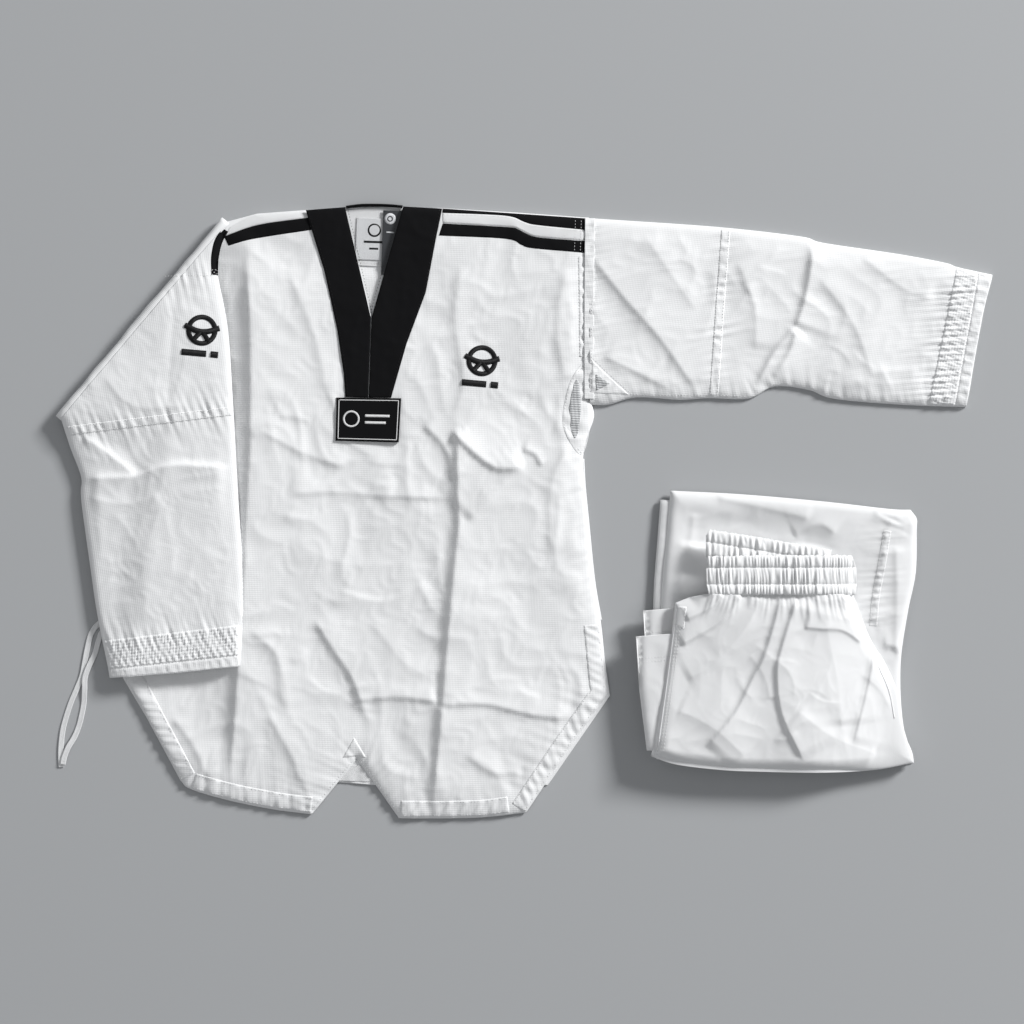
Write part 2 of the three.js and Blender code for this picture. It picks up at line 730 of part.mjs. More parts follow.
// The waist part comes up from the lower fold and lies on top, with its gathered waistband
function addWaist() {
  const right = bundleWidth;
  const waistOutline = [
    [-6, 8],
    ...bow([6, 3], [right, -1], -9, 5),
    [right - 14, 48],
    [right - 19, 80],
    [right - 48, 136],
    [bandX + bandLength, bandY - layerGap],
    [bandX, bandY - layerGap],
    [bandX - 34, bandY - 9],
  ];
  node(trousers, 'trouser_front_panel', slab(waistOutline, waistFrontLevel, clothThickness), twillCloth);
  node(trousers, 'trouser_back_panel', slab(waistOutline, waistLevel, clothThickness), twillCloth);
  const sideWall = band([[-5, 10], [bandX - 33, bandY - 11]], -3.5, -1);
  const sideSeam = slab(sideWall, waistLevel + clothThickness + layerGap, waistAir - 2 * layerGap);
  node(trousers, 'trouser_side_seam', sideSeam, whiteTrim);
  const crotchWall = band([[right - 16, 50], [right - 46, 132]], 1, 3.5);
  const crotchSeam = slab(crotchWall, waistLevel + clothThickness + layerGap, waistAir - 2 * layerGap);
  node(trousers, 'trouser_crotch_seam', crotchSeam, whiteTrim);
  const frontBand = box(bandX, bandY, bandLength, bandHeight);
  node(trousers, 'waistband_front', slab(frontBand, waistFrontLevel, bandThickness), whiteTrim);
  const rearBand = [
    [bandX, bandY],
    [bandX + bandLength - 10, bandY],
    [bandX + bandLength - 24, bandY + bandHeight + 4],
    [bandX + 4, bandY + bandHeight + 28],
  ];
  node(trousers, 'waistband_rear', slab(rearBand, waistLevel, bandThickness), whiteTrim);
  const pocketPath = [[17, bandY - 32], [23, bandY - 32 + pocketLength]];
  const pocketLevel = waistFrontLevel + clothThickness + layerGap;
  node(trousers, 'pocket_welt', slab(band(pocketPath, -12, -2), pocketLevel, trimThickness), whiteTrim);
}

addLegs();
addLegEnds();
addInseam();
addWaist();

// ---------------------------------------------------------------- side ties

// Both ties are sewn to a small tab at the right vent, run out under the folded sleeve and lie
// crossed on the surface. Their points are given from the tab, each with its height.
const tabWidth = 16;
const tabHeight = 20;
const tabX = rightVentTop[0] - backPeek - 5;
const tabY = rightVentTop[1] - 24;
const low = tieThickness / 2 + 0.5;
const high = low + tieThickness + layerGap;
const start = facingLevel + trimThickness / 2;
const frontTieRoute = [
  [-1, 5, start], [-5, 6.5, start], [-13, 8, low], [-24, 8, low], [-36, 2, low], [-44, -9, low],
  [-48, -24, low], [-51, -40, low], [-54, -55, low], [-60, -70, low], [-66, -84, low],
  [-71, -99, low], [-75, -114, low], [-77, -130, low], [-77.5, -143, low], [-77, -156, low],
];
const backTieRoute = [
  [-1, -5, start], [-5, -6.5, start], [-13, -7, low], [-23, -4, low], [-32, -7, low],
  [-36, -17, low], [-40, -31, low], [-46, -44, high], [-50.5, -57, high], [-51, -70, high],
  [-52, -85, low], [-55, -101, low], [-58, -112, low], [-62.5, -123, low + 0.6],
  [-69, -134, high], [-73, -144, high], [-75, -153, high],
];

// A flat tape along a route of hand-placed points
function tape(route) {
  const curve = new THREE.CatmullRomCurve3(route.map((point) => new THREE.Vector3(...point)));
  const sides = 8;
  const section = new THREE.Shape();
  for (let i = 0; i < sides; i += 1) {
    const angle = (2 * Math.PI * (i + 0.5)) / sides;
    const up = (tieThickness / 2) * Math.sin(angle) / Math.cos(Math.PI / sides);
    const across = (tieWidth / 2) * Math.cos(angle) / Math.cos(Math.PI / sides);
    if (i === 0) section.moveTo(up, across);
    else section.lineTo(up, across);
  }
  return new THREE.ExtrudeGeometry(section, { steps: 28, extrudePath: curve, bevelEnabled: false });
}

// ---------------------------------------------------------------- whole object

// The origin is on the surface, at the middle of the laid-out uniform without its ties.
const tieTab = new THREE.Group();
tieTab.position.set(tabX, tabY, 0);
tieTab.rotation.z = -radians(jacketTurn);
jacket.add(tieTab);
const tab = slab(box(0, -tabHeight / 2, tabWidth, tabHeight), facingLevel, trimThickness);
node(tieTab, 'tie_tab', tab, whiteTrim);

const group = new THREE.Group();
group.add(jacket);
group.add(trousers);
group.updateMatrixWorld(true);
const middle = new THREE.Box3().setFromObject(group, true).getCenter(new THREE.Vector3());
group.position.set(-middle.x, -middle.y, 0);

node(tieTab, 'side_tie_front', tape(frontTieRoute), whiteTrim);
node(tieTab, 'side_tie_back', tape(backTieRoute), whiteTrim);

export default group;
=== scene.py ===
"""A taekwondo uniform laid out on a floor: the looks of its cloth, seams and trimmings.

Lengths are in millimetres until a mesh is made. Left and right are the wearer's.
"""
import math

import bpy
import numpy as np
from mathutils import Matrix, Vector
from mathutils.geometry import delaunay_2d_cdt


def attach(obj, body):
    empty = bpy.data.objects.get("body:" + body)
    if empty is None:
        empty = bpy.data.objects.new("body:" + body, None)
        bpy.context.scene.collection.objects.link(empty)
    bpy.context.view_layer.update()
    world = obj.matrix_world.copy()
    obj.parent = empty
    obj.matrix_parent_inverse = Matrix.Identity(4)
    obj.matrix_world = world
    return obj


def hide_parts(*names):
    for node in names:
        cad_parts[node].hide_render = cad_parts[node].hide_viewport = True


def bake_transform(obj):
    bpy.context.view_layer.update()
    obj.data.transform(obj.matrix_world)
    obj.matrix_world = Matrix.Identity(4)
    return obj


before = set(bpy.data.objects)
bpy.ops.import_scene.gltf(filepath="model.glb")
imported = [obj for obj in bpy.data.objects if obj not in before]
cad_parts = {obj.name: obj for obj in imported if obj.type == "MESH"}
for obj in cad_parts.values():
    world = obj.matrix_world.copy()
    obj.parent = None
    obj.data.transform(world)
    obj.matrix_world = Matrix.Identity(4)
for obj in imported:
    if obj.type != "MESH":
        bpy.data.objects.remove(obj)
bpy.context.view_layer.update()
FINE = 1.0


# ---------------------------------------------------------------- places on the floor


class Lay:
    """A flat drawing frame on the floor: an origin in millimetres and a turn in degrees."""

    def __init__(self, x, y, turn=0.0):
        self.origin = np.array([x, y])
        self.cos = math.cos(math.radians(turn))
        self.sin = math.sin(math.radians(turn))

    def to_floor(self, x, y):
        return (
            self.origin[0] + x * self.cos - y * self.sin,
            self.origin[1] + x * self.sin + y * self.cos,
        )

    def from_floor(self, x, y):
        dx = x - self.origin[0]
        dy = y - self.origin[1]
        return dx * self.cos + dy * self.sin, -dx * self.sin + dy * self.cos


JACKET = Lay(-167.3, 336.59, -1.96)
LEFT_SLEEVE = Lay(69.4, 323.5, -5.7)
RIGHT_SLEEVE = Lay(-349.5, 265.9, -83.1)
TROUSERS = Lay(143.0, -276.41)
TIE_TAB = Lay(-436.9, -126.5)


# ---------------------------------------------------------------- curves and outlines


def curve(points, steps=6, closed=False):
    """A smooth line through the given points."""
    pts = [np.array(p, float) for p in points]
    count = len(pts)
    line = []
    spans = count if closed else count - 1
    for i in range(spans):
        if closed:
            a, b, c, d = (pts[(i + k - 1) % count] for k in range(4))
        else:
            b, c = pts[i], pts[i + 1]
            a = pts[i - 1] if i > 0 else 2 * b - c
            d = pts[i + 2] if i + 2 < count else 2 * c - b
        for k in range(steps):
            t = k / steps
            line.append(
                0.5 * (2 * b + (c - a) * t + (2 * a - 5 * b + 4 * c - d) * t**2
                       + (3 * b - a - 3 * c + d) * t**3)
            )
    if not closed:
        line.append(pts[-1])
    return [tuple(float(v) for v in p) for p in line]


def spaced(points, pitch, closed):
    """The same line with points about one pitch apart. Its corners stay."""
    pts = [np.array(p, float) for p in points]
    if closed:
        pts.append(pts[0])
    line = []
    for a, b in zip(pts, pts[1:]):
        parts = max(1, round(float(np.linalg.norm(b - a)) / pitch))
        line.extend(a + (b - a) * k / parts for k in range(parts))
    if not closed:
        line.append(pts[-1])
    return np.array(line)


def measure(x, y, points):
    """How far along a line (0 to 1) and beside it (left is positive) each place is."""
    pts = np.array(points, float)
    x = np.asarray(x, float)
    y = np.asarray(y, float)
    best = np.full(x.shape, 1e9)
    along = np.zeros(x.shape)
    beside = np.zeros(x.shape)
    runs = np.linalg.norm(np.diff(pts, axis=0), axis=1) + 1e-9
    total = runs.sum()
    gone = 0.0
    for (ax, ay), (bx, by), run in zip(pts, pts[1:], runs):
        ux, uy = (bx - ax) / run, (by - ay) / run
        t = np.clip((x - ax) * ux + (y - ay) * uy, 0, run)
        dx = x - ax - t * ux
        dy = y - ay - t * uy
        far = np.hypot(dx, dy)
        near = far < best
        best = np.where(near, far, best)
        side = np.where(ux * dy - uy * dx >= 0, 1.0, -1.0)
        beside = np.where(near, far * side, beside)
        along = np.where(near, (gone + t) / total, along)
        gone += run
    return along, beside


def rim(x, y, outline):
    """Distance to a closed outline, and whether each place is inside it."""
    loop = list(outline) + [outline[0]]
    _, beside = measure(x, y, loop)
    inside = np.zeros(np.shape(x), bool)
    for (ax, ay), (bx, by) in zip(loop, loop[1:]):
        if ay != by:
            cross = (ay > y) != (by > y)
            inside ^= cross & (x < (bx - ax) * (y - ay) / (by - ay) + ax)
    return np.abs(beside), inside


def unit(run, slack=1e-9):
    """Directions with their lengths taken out. The slack keeps a zero length from dividing."""
    return run / (np.linalg.norm(run, axis=1)[:, None] + slack)


def leftward(run):
    return np.stack([-run[:, 1], run[:, 0]], axis=1)


def gone_along(line):
    """How far along a line each of its points is."""
    steps = np.linalg.norm(np.diff(np.array(line), axis=0), axis=1)
    return np.concatenate([[0], np.cumsum(steps)])


def beside(points, distance):
    """A line moved sideways, to its left when distance is positive."""
    pts = np.array(points, float)
    moved = pts + distance * leftward(unit(np.gradient(pts, axis=0), slack=0))
    return [tuple(p) for p in moved]


def strip(points, start, end):
    return beside(points, start) + beside(points, end)[::-1]


def oblong(left, bottom, width, height):
    right, top = left + width, bottom + height
    return [(left, bottom), (right, bottom), (right, top), (left, top)]


def circle(x, y, radius, sides=36):
    turns = [2 * math.pi * k / sides for k in range(sides)]
    return [(x + radius * math.cos(t), y + radius * math.sin(t)) for t in turns]


# ---------------------------------------------------------------- relief of the cloth


def eased(t):
    t = np.clip(t, 0, 1)
    return t * t * (3 - 2 * t)


def rounded(distance, radius):
    """Rises from 0 at an edge to 1 one radius away, as the side of a roll does."""
    t = np.clip(distance / radius, 0, 1)
    return np.sqrt(np.maximum(1 - (1 - t) ** 2, 0))


def waves(x, y, size, seed, count=9):
    """Soft random hills about one size wide."""
    draw = np.random.default_rng(seed)
    total = np.zeros(np.shape(x))
    for _ in range(count):
        turn = draw.uniform(0, math.pi)
        k = 2 * math.pi / size * draw.uniform(0.6, 1.5)
        phase = k * (x * math.cos(turn) + y * math.sin(turn))
        total = total + np.cos(phase + draw.uniform(0, 2 * math.pi))
    return total / math.sqrt(count)


def crumple(x, y, size, seed):
    """Low rounded hollows that meet in soft ridges."""
    bent_x = x + 0.25 * size * waves(x, y, size * 1.7, seed + 1, 5)
    bent_y = y + 0.25 * size * waves(x, y, size * 1.7, seed + 2, 5)
    return 1 - np.minimum(np.abs(waves(bent_x, bent_y, size, seed, 6)), 1.6)


def crease(x, y, points, rise, left, right, ends, power):
    """A ridge along a line, faded at its ends. Its two flanks have their own widths."""
    along, side = measure(x, y, curve(points, 4))
    width = np.where(side > 0, left, right)
    fade = eased(along / ends) * eased((1 - along) / ends)
    return rise * fade * np.exp(-np.abs(side / width) ** power)


def ridges(x, y, creases, ends):
    """The sum of creases that are given as a line, a rise and the widths of the two flanks."""
    return sum(crease(x, y, line, rise, left, right, ends, 1.2) for line, rise, left, right in creases)


def scattered(x, y, area, count, rise, seed):
    """Short sharp creases strewn over an oblong area, steeper on one flank than the other."""
    draw = np.random.default_rng(seed)
    left, bottom, right, top = area
    total = 0 * x
    for _ in range(count):
        turn = draw.uniform(0, math.pi)
        reach = draw.uniform(12, 34)
        mid_x, mid_y = draw.uniform(left, right), draw.uniform(bottom, top)
        dx, dy = reach * math.cos(turn), reach * math.sin(turn)
        bend = draw.uniform(-0.3, 0.3)
        bulge = (mid_x - bend * dy, mid_y + bend * dx)
        line = [(mid_x - dx, mid_y - dy), bulge, (mid_x + dx, mid_y + dy)]
        flanks = (draw.uniform(7, 16), draw.uniform(2.4, 4))
        near, far = flanks if draw.uniform() < 0.5 else flanks[::-1]
        total = total + crease(x, y, line, rise * draw.uniform(0.5, 1.2), near, far, 0.3, 1.2)
    return total


def puckers(x, y, points, rise, pitch, reach, seed):
    """Little wrinkles square to a seam, that die away beside it."""
    line = curve(points, 4)
    along, side = measure(x, y, line)
    hills = waves(along * gone_along(line)[-1] + side * 0.25, 0 * along, pitch, seed, 7)
    return rise * hills * np.exp(-np.abs(side) / reach)


def pressed(level, outline, seed, rise=1.3):
    """The face of a layer that lies flat under others, with the soft creases of pressed cloth."""
    def top(x, y):
        far, _ = rim(x, y, outline)
        hills = crumple(x, y, 70, seed) + 0.5 * crumple(x, y, 28, seed + 1)
        hills = hills + scattered(x, y, (np.min(x), np.min(y), np.max(x), np.max(y)), 14, 0.9, seed + 2)
        base = level(x, y) if callable(level) else level
        return base + rise * eased(far / 18) * np.clip(0.45 * (hills + 0.8), 0, 1.3)

    return top


# ---------------------------------------------------------------- materials


class Shader:
    """A fabric's node tree, drawn on the cloth's own coordinates in metres."""

    def __init__(self, name, rough=0.85, sheen=0.25, specular=0.25):
        self.material = bpy.data.materials.new(name)
        self.material.use_nodes = True
        self.tree = self.material.node_tree
        self.surface = self.tree.nodes["Principled BSDF"]
        self.surface.inputs["Roughness"].default_value = rough
        self.surface.inputs["Sheen Weight"].default_value = sheen
        self.surface.inputs["Sheen Roughness"].default_value = 0.5
        self.surface.inputs["Specular IOR Level"].default_value = specular
        self.rough = rough
        self.place = self.add("ShaderNodeUVMap").outputs["UV"]

    def add(self, kind, **settings):
        node = self.tree.nodes.new(kind)
        for key, value in settings.items():
            setattr(node, key, value)
        return node

    def link(self, start, end):
        self.tree.links.new(start, end)

    def turned(self, degrees):
        node = self.add("ShaderNodeMapping")
        node.inputs["Rotation"].default_value[2] = math.radians(degrees)
        self.link(self.place, node.inputs["Vector"])
        return node.outputs["Vector"]

    def math(self, kind, a, b=None):
        node = self.add("ShaderNodeMath", operation=kind)
        for socket, value in zip(node.inputs, (a, b)):
            if value is None:
                continue
            if isinstance(value, (int, float)):
                socket.default_value = value
            else:
                self.link(value, socket)
        return node.outputs["Value"]

    def threads(self, pitch, degrees):
        """Sine lines one pitch apart, across the given direction. From -1 to 1."""
        parts = self.add("ShaderNodeSeparateXYZ")
        self.link(self.turned(degrees), parts.inputs["Vector"])
        phase = self.math("MULTIPLY", parts.outputs["X"], 2 * math.pi * 1000 / pitch)
        return self.math("SINE", phase)

    def noise(self, pitch, detail=3.0):
        node = self.add("ShaderNodeTexNoise")
        node.inputs["Scale"].default_value = 1000 / pitch
        node.inputs["Detail"].default_value = detail
        self.link(self.turned(0), node.inputs["Vector"])
        return node.outputs["Fac"]

    def colour(self, low, high, factor):
        node = self.add("ShaderNodeMix", data_type="RGBA")
        node.clamp_factor = True
        node.inputs["A"].default_value = (*low, 1)
        node.inputs["B"].default_value = (*high, 1)
        self.link(factor, node.inputs["Factor"])
        self.link(node.outputs["Result"], self.surface.inputs["Base Color"])

    def uneven(self, factor, spread):
        shift = self.math("MULTIPLY", self.math("SUBTRACT", factor, 0.5), spread)
        rough = self.math("ADD", shift, self.rough)
        self.link(rough, self.surface.inputs["Roughness"])

    def relief(self, height, depth):
        node = self.add("ShaderNodeBump")
        node.inputs["Strength"].default_value = 1.0
        node.inputs["Distance"].default_value = depth / 1000
        self.link(height, node.inputs["Height"])
        self.link(node.outputs["Normal"], self.surface.inputs["Normal"])


def mixed(shader, first, second, share):
    kept = shader.math("MULTIPLY", first, 1 - share)
    return shader.math("ADD", kept, shader.math("MULTIPLY", second, share))


def woven(name, colour, pitch, depth, shade=0.05, kind="plain", rough=0.85, sheen=0.25, specular=0.25):
    """Cloth with its threads as relief, faint shade between them and a slightly uneven tone."""
    fabric = Shader(name, rough, sheen, specular)
    if kind == "dobby":
        one = fabric.threads(pitch, 38)
        two = fabric.threads(pitch, -38)
        weave = fabric.math("MULTIPLY", one, two)
    elif kind == "twill":
        one = fabric.threads(pitch, 62)
        two = fabric.threads(pitch * 0.6, 0)
        weave = mixed(fabric, one, two, 0.3)
    else:
        one = fabric.threads(pitch, 0)
        two = fabric.threads(pitch, 90)
        weave = fabric.math("MULTIPLY", one, two)
    fuzz = fabric.noise(pitch * 0.5, 2.0)
    height = mixed(fabric, weave, fuzz, 0.35)
    patches = fabric.noise(70, 3.0)
    tone = mixed(fabric, fabric.math("ADD", fabric.math("MULTIPLY", weave, 0.5), 0.5), patches, 0.5)
    dark = tuple(c * (1 - shade) for c in colour)
    fabric.colour(dark, colour, tone)
    fabric.uneven(fuzz, 0.2)
    fabric.relief(height, depth)
    return fabric.material


def netting(name, colour, hole, pitch):
    """Airy mesh: rows of small round holes painted darker, as painted shade of the layer seen through them.
    """
    fabric = Shader(name, 0.8, 0.2, 0.3)
    one = fabric.threads(pitch, 30)
    two = fabric.threads(pitch, -30)
    product = fabric.math("MULTIPLY", one, two)
    # The holes take the darker colour: painted shade of the layer seen through them.
    fabric.colour(hole, colour, fabric.math("ADD", product, 0.6))
    fabric.uneven(fabric.noise(20), 0.15)
    fabric.relief(product, 0.5)
    return fabric.material


def thread(name, colour, rough=0.6, sheen=0.3, specular=0.4):
    """Twisted sewing thread or satin stitch, with fine lines across the way it runs."""
    yarn = Shader(name, rough, sheen, specular)
    twist = yarn.threads(0.8, 20)
    fuzz = yarn.noise(0.9, 2.0)
    yarn.colour(tuple(c * 0.85 for c in colour), colour, mixed(yarn, twist, fuzz, 0.6))
    yarn.uneven(fuzz, 0.25)
    yarn.relief(mixed(yarn, twist, fuzz, 0.3), 0.12)
    return yarn.material


def card(name, colour):
    """Coated card with a faint grain."""
    sheet_card = Shader(name, 0.42, 0.0, 0.5)
    grain = sheet_card.noise(0.7, 4.0)
    sheet_card.colour(tuple(c * 0.9 for c in colour), colour, grain)
    sheet_card.uneven(sheet_card.noise(15), 0.2)
    sheet_card.relief(grain, 0.03)
    return sheet_card.material


WHITE = (0.86, 0.865, 0.87)
DOBBY = woven("white dobby cotton", WHITE, 2.7, 0.1, 0.03, "dobby")
PLAIN = woven("white plain tape", (0.85, 0.855, 0.86), 1.2, 0.2, 0.05, "plain")
TWILL = woven("white trouser twill", WHITE, 1.3, 0.16, 0.04, "twill", rough=0.75, sheen=0.35)
LINING = woven("white lining", (0.78, 0.785, 0.79), 1.1, 0.12, 0.05, "plain")
BLACK = woven("black twill", (0.006, 0.006, 0.007), 1.4, 0.2, 0.4, "twill", 0.8, 0.03, 0.1)
MESH = netting("airy mesh", (0.74, 0.75, 0.76), (0.38, 0.39, 0.40), 2.6)
LABEL = woven("woven label", (0.72, 0.73, 0.74), 0.7, 0.1, 0.06, "plain", rough=0.55, sheen=0.1)
CARD = card("hang tag card", (0.045, 0.048, 0.053))
WHITE_THREAD = thread("white thread", (0.88, 0.88, 0.88))
BLACK_THREAD = thread("black thread", (0.007, 0.007, 0.008), 0.5, 0.05, 0.2)
PRINT = card("white print", (0.75, 0.76, 0.78))


# ---------------------------------------------------------------- mesh makers


def build(name, verts, faces, uvs, material, flat_from=None):
    """A mesh object from points in millimetres. Faces from flat_from on are not smoothed."""
    mesh = bpy.data.meshes.new(name)
    mesh.from_pydata((np.asarray(verts) / 1000).tolist(), [], faces)
    layer = mesh.uv_layers.new(name="cloth")
    corners = np.zeros(len(mesh.loops), int)
    mesh.loops.foreach_get("vertex_index", corners)
    layer.data.foreach_set("uv", (np.asarray(uvs)[corners] / 1000).ravel())
    smooth = np.ones(len(mesh.polygons), bool)
    if flat_from is not None:
        smooth[flat_from:] = False
    mesh.polygons.foreach_set("use_smooth", smooth)
    mesh.materials.append(material)
    mesh.update()
    obj = bpy.data.objects.new(name, mesh)
    bpy.context.scene.collection.objects.link(obj)
    return obj


def inner_points(outline, pitch, rings):
    """Places inside an outline: a staggered grid, and rings close to the edge."""
    loop = np.array(outline)
    low, high = loop.min(axis=0), loop.max(axis=0)
    rows = np.arange(low[1] + pitch / 2, high[1], pitch * 0.87)
    places = []
    for row, y in enumerate(rows):
        shift = pitch / 2 if row % 2 else 0
        xs = np.arange(low[0] + pitch / 2 + shift, high[0], pitch)
        places.append(np.stack([xs, np.full(xs.shape, y)], axis=1))
    grid = np.concatenate(places) if places else np.zeros((0, 2))
    far, inside = rim(grid[:, 0], grid[:, 1], outline)
    deepest = rings[-1] if rings else 0
    kept = [grid[inside & (far > deepest + pitch * 0.45)]]
    inward = leftward(unit(np.roll(loop, -1, axis=0) - np.roll(loop, 1, axis=0)))
    for depth in rings:
        ring = loop + inward * depth
        far, inside = rim(ring[:, 0], ring[:, 1], outline)
        kept.append(ring[inside & (far > depth * 0.8)])
    return np.concatenate(kept)


def anticlockwise(outline):
    pts = np.array(outline, float)
    after = np.roll(pts, -1, axis=0)
    area = 0.5 * np.sum(pts[:, 0] * after[:, 1] - pts[:, 1] * after[:, 0])
    return (pts if area > 0 else pts[::-1]), abs(area)


def cloth(name, lay, outline, top, thickness, material, pitch=4.0, rings=(0.7, 2.0), under=None):
    """A closed sheet of cloth whose upper face follows top(x, y), in its own lay."""
    if pitch > 2:
        pitch = pitch / FINE
    outline, area = anticlockwise(outline)
    edge = spaced([tuple(p) for p in outline], pitch, True)
    inner = inner_points([tuple(p) for p in edge], pitch, rings)
    flat = np.concatenate([edge, inner])
    count = len(edge)
    loop = [(k, (k + 1) % count) for k in range(count)]
    points, _, faces, *_ = delaunay_2d_cdt([Vector(p) for p in flat.tolist()], loop, [], 1, 1e-5)
    flat = np.array([tuple(p) for p in points])
    x, y = flat[:, 0], flat[:, 1]
    upper = top(x, y)
    lower = upper - thickness if under is None else np.minimum(under(x, y), upper - 0.2)
    fx, fy = lay.to_floor(x, y)
    verts = np.concatenate([np.stack([fx, fy, upper], 1), np.stack([fx, fy, lower], 1)])
    total = len(flat)
    tops = [tuple(face) for face in faces]
    bottoms = [tuple(v + total for v in reversed(face)) for face in tops]
    edges = {(face[k], face[(k + 1) % len(face)]) for face in tops for k in range(len(face))}
    rims = [(a, b) for a, b in edges if (b, a) not in edges]
    sides = [(b, a, a + total, b + total) for a, b in sorted(rims)]
    uvs = np.concatenate([flat, flat])
    obj = build(name, verts, tops + bottoms + sides, uvs, material, len(tops) + len(bottoms))
    obj["flat_area"] = area / 1e6
    span = np.ptp(outline, axis=0) / 1000
    obj["flat_width"], obj["flat_length"] = float(span[0]), float(span[1])
    return obj


def ribbon(name, lay, points, width, height, top, material, closed=False, pitch=1.5, sides=6):
    """A low rounded cord sewn along a line: piping, a seam's ridge or a satin-stitched line."""
    line = spaced(points, pitch, closed)
    run = np.roll(line, -1, axis=0) - np.roll(line, 1, axis=0)
    if not closed:
        run[0], run[-1] = line[1] - line[0], line[-1] - line[-2]
    left = leftward(unit(run))
    turns = [math.pi * 2 * k / sides for k in range(sides)]
    gone = gone_along(line)
    verts, uvs = [], []
    for turn in turns:
        spot = line + left * (width / 2 * math.cos(turn))
        base = top(spot[:, 0], spot[:, 1])
        rise = height * max(math.sin(turn), -0.2)
        fx, fy = lay.to_floor(spot[:, 0], spot[:, 1])
        verts.append(np.stack([fx, fy, base + rise], axis=1))
        uvs.append(np.stack([gone, np.full(len(gone), width * turn / 3)], axis=1))
    count = len(line)
    faces = []
    for k in range(sides):
        here, there = k * count, ((k + 1) % sides) * count
        for i in range(count if closed else count - 1):
            j = (i + 1) % count
            faces.append((here + i, here + j, there + j, there + i))
    if not closed:
        faces.append(tuple(k * count for k in range(sides)))
        faces.append(tuple(k * count + count - 1 for k in reversed(range(sides))))
    return build(name, np.concatenate(verts), faces, np.concatenate(uvs), material)


def stitches(name, lay, lines, top, material, length=2.4, gap=1.1, width=0.6, height=0.28):
    """Rows of single stitches along lines."""
    starts, ends = [], []
    for points in lines:
        line = spaced(points, length + gap, False)
        starts.append(line[:-1])
        ends.append(line[1:])
    start, end = np.concatenate(starts), np.concatenate(ends)
    run = unit(end - start)
    left = leftward(run)
    middle = (start + end) / 2
    spots = [
        start + run * gap / 2,
        middle + left * width / 2,
        end - run * gap / 2,
        middle - left * width / 2,
        middle,
        middle,
    ]
    rises = (0.02, 0.1, 0.02, 0.1, height, -0.15)
    flat = np.stack(spots, axis=1).reshape(-1, 2)
    z = top(flat[:, 0], flat[:, 1]) + np.tile(rises, len(start))
    fx, fy = lay.to_floor(flat[:, 0], flat[:, 1])
    faces = []
    for first in range(0, len(flat), len(rises)):
        for k in range(4):
            here, there = first + k, first + (k + 1) % 4
            faces.append((first + 4, there, here))
            faces.append((first + 5, here, there))
    return build(name, np.stack([fx, fy, z], axis=1), faces, flat, material)


def level_at(height):
    """A flat face at one height."""
    return lambda x, y: 0 * x + height


def over(base, lift):
    """The face of something that lies on a base, a little higher."""
    return lambda x, y: base(x, y) + lift


def worn(obj, body, nodes=()):
    """Lets a piece ride on a body, in place of the named CAD nodes."""
    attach(obj, body)
    if nodes:
        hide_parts(*nodes)


# ---------------------------------------------------------------- camera, light and floor


def add_camera():
    lens, sensor, view_width = 100, 36, 1.1264
    data = bpy.data.cameras.new("camera")
    data.lens = lens
    data.sensor_width = sensor
    camera = bpy.data.objects.new("camera", data)
    camera.location = (-0.0166, -0.001, 0.01 + view_width * lens / sensor)
    bpy.context.scene.collection.objects.link(camera)
    bpy.context.scene.camera = camera


def add_light(name, place, size, power):
    """A soft square lamp that faces the middle of the floor."""
    data = bpy.data.lights.new(name, "AREA")
    data.shape = "SQUARE"
    data.size = size
    data.energy = power
    light = bpy.data.objects.new(name, data)
    light.location = place
    light.rotation_euler = (-Vector(place)).to_track_quat("-Z", "Y").to_euler()
    bpy.context.scene.collection.objects.link(light)


def add_floor():
    size = 40.0
    material = bpy.data.materials.new("floor paint")
    material.use_nodes = True
    surface = material.node_tree.nodes["Principled BSDF"]
    surface.inputs["Base Color"].default_value = (0.42, 0.43, 0.44, 1)
    surface.inputs["Roughness"].default_value = 0.9
    bpy.ops.mesh.primitive_plane_add(size=size, location=(0, 0, 0))
    floor = bpy.context.object
    floor.name = "floor"
    floor.data.materials.append(material)


add_camera()
add_floor()
add_light("key", place=(6.4, 4.9, 3.8), size=1.9, power=1010)
add_light("fill", place=(-1.8, -0.8, 3.2), size=2.5, power=12)
world = bpy.data.worlds.new("studio")
world.use_nodes = True
world.node_tree.nodes["Background"].inputs["Color"].default_value = (0.95, 0.97, 1.0, 1)
world.node_tree.nodes["Background"].inputs["Strength"].default_value = 0.29
bpy.context.scene.world = world
bpy.context.scene.view_settings.view_transform = "Standard"


COTTON_THICK = 0.9
TWILL_THICK = 1.0
TAPE_LIFT = 0.7
CREST_LIFT = 0.25


# ---------------------------------------------------------------- side ties

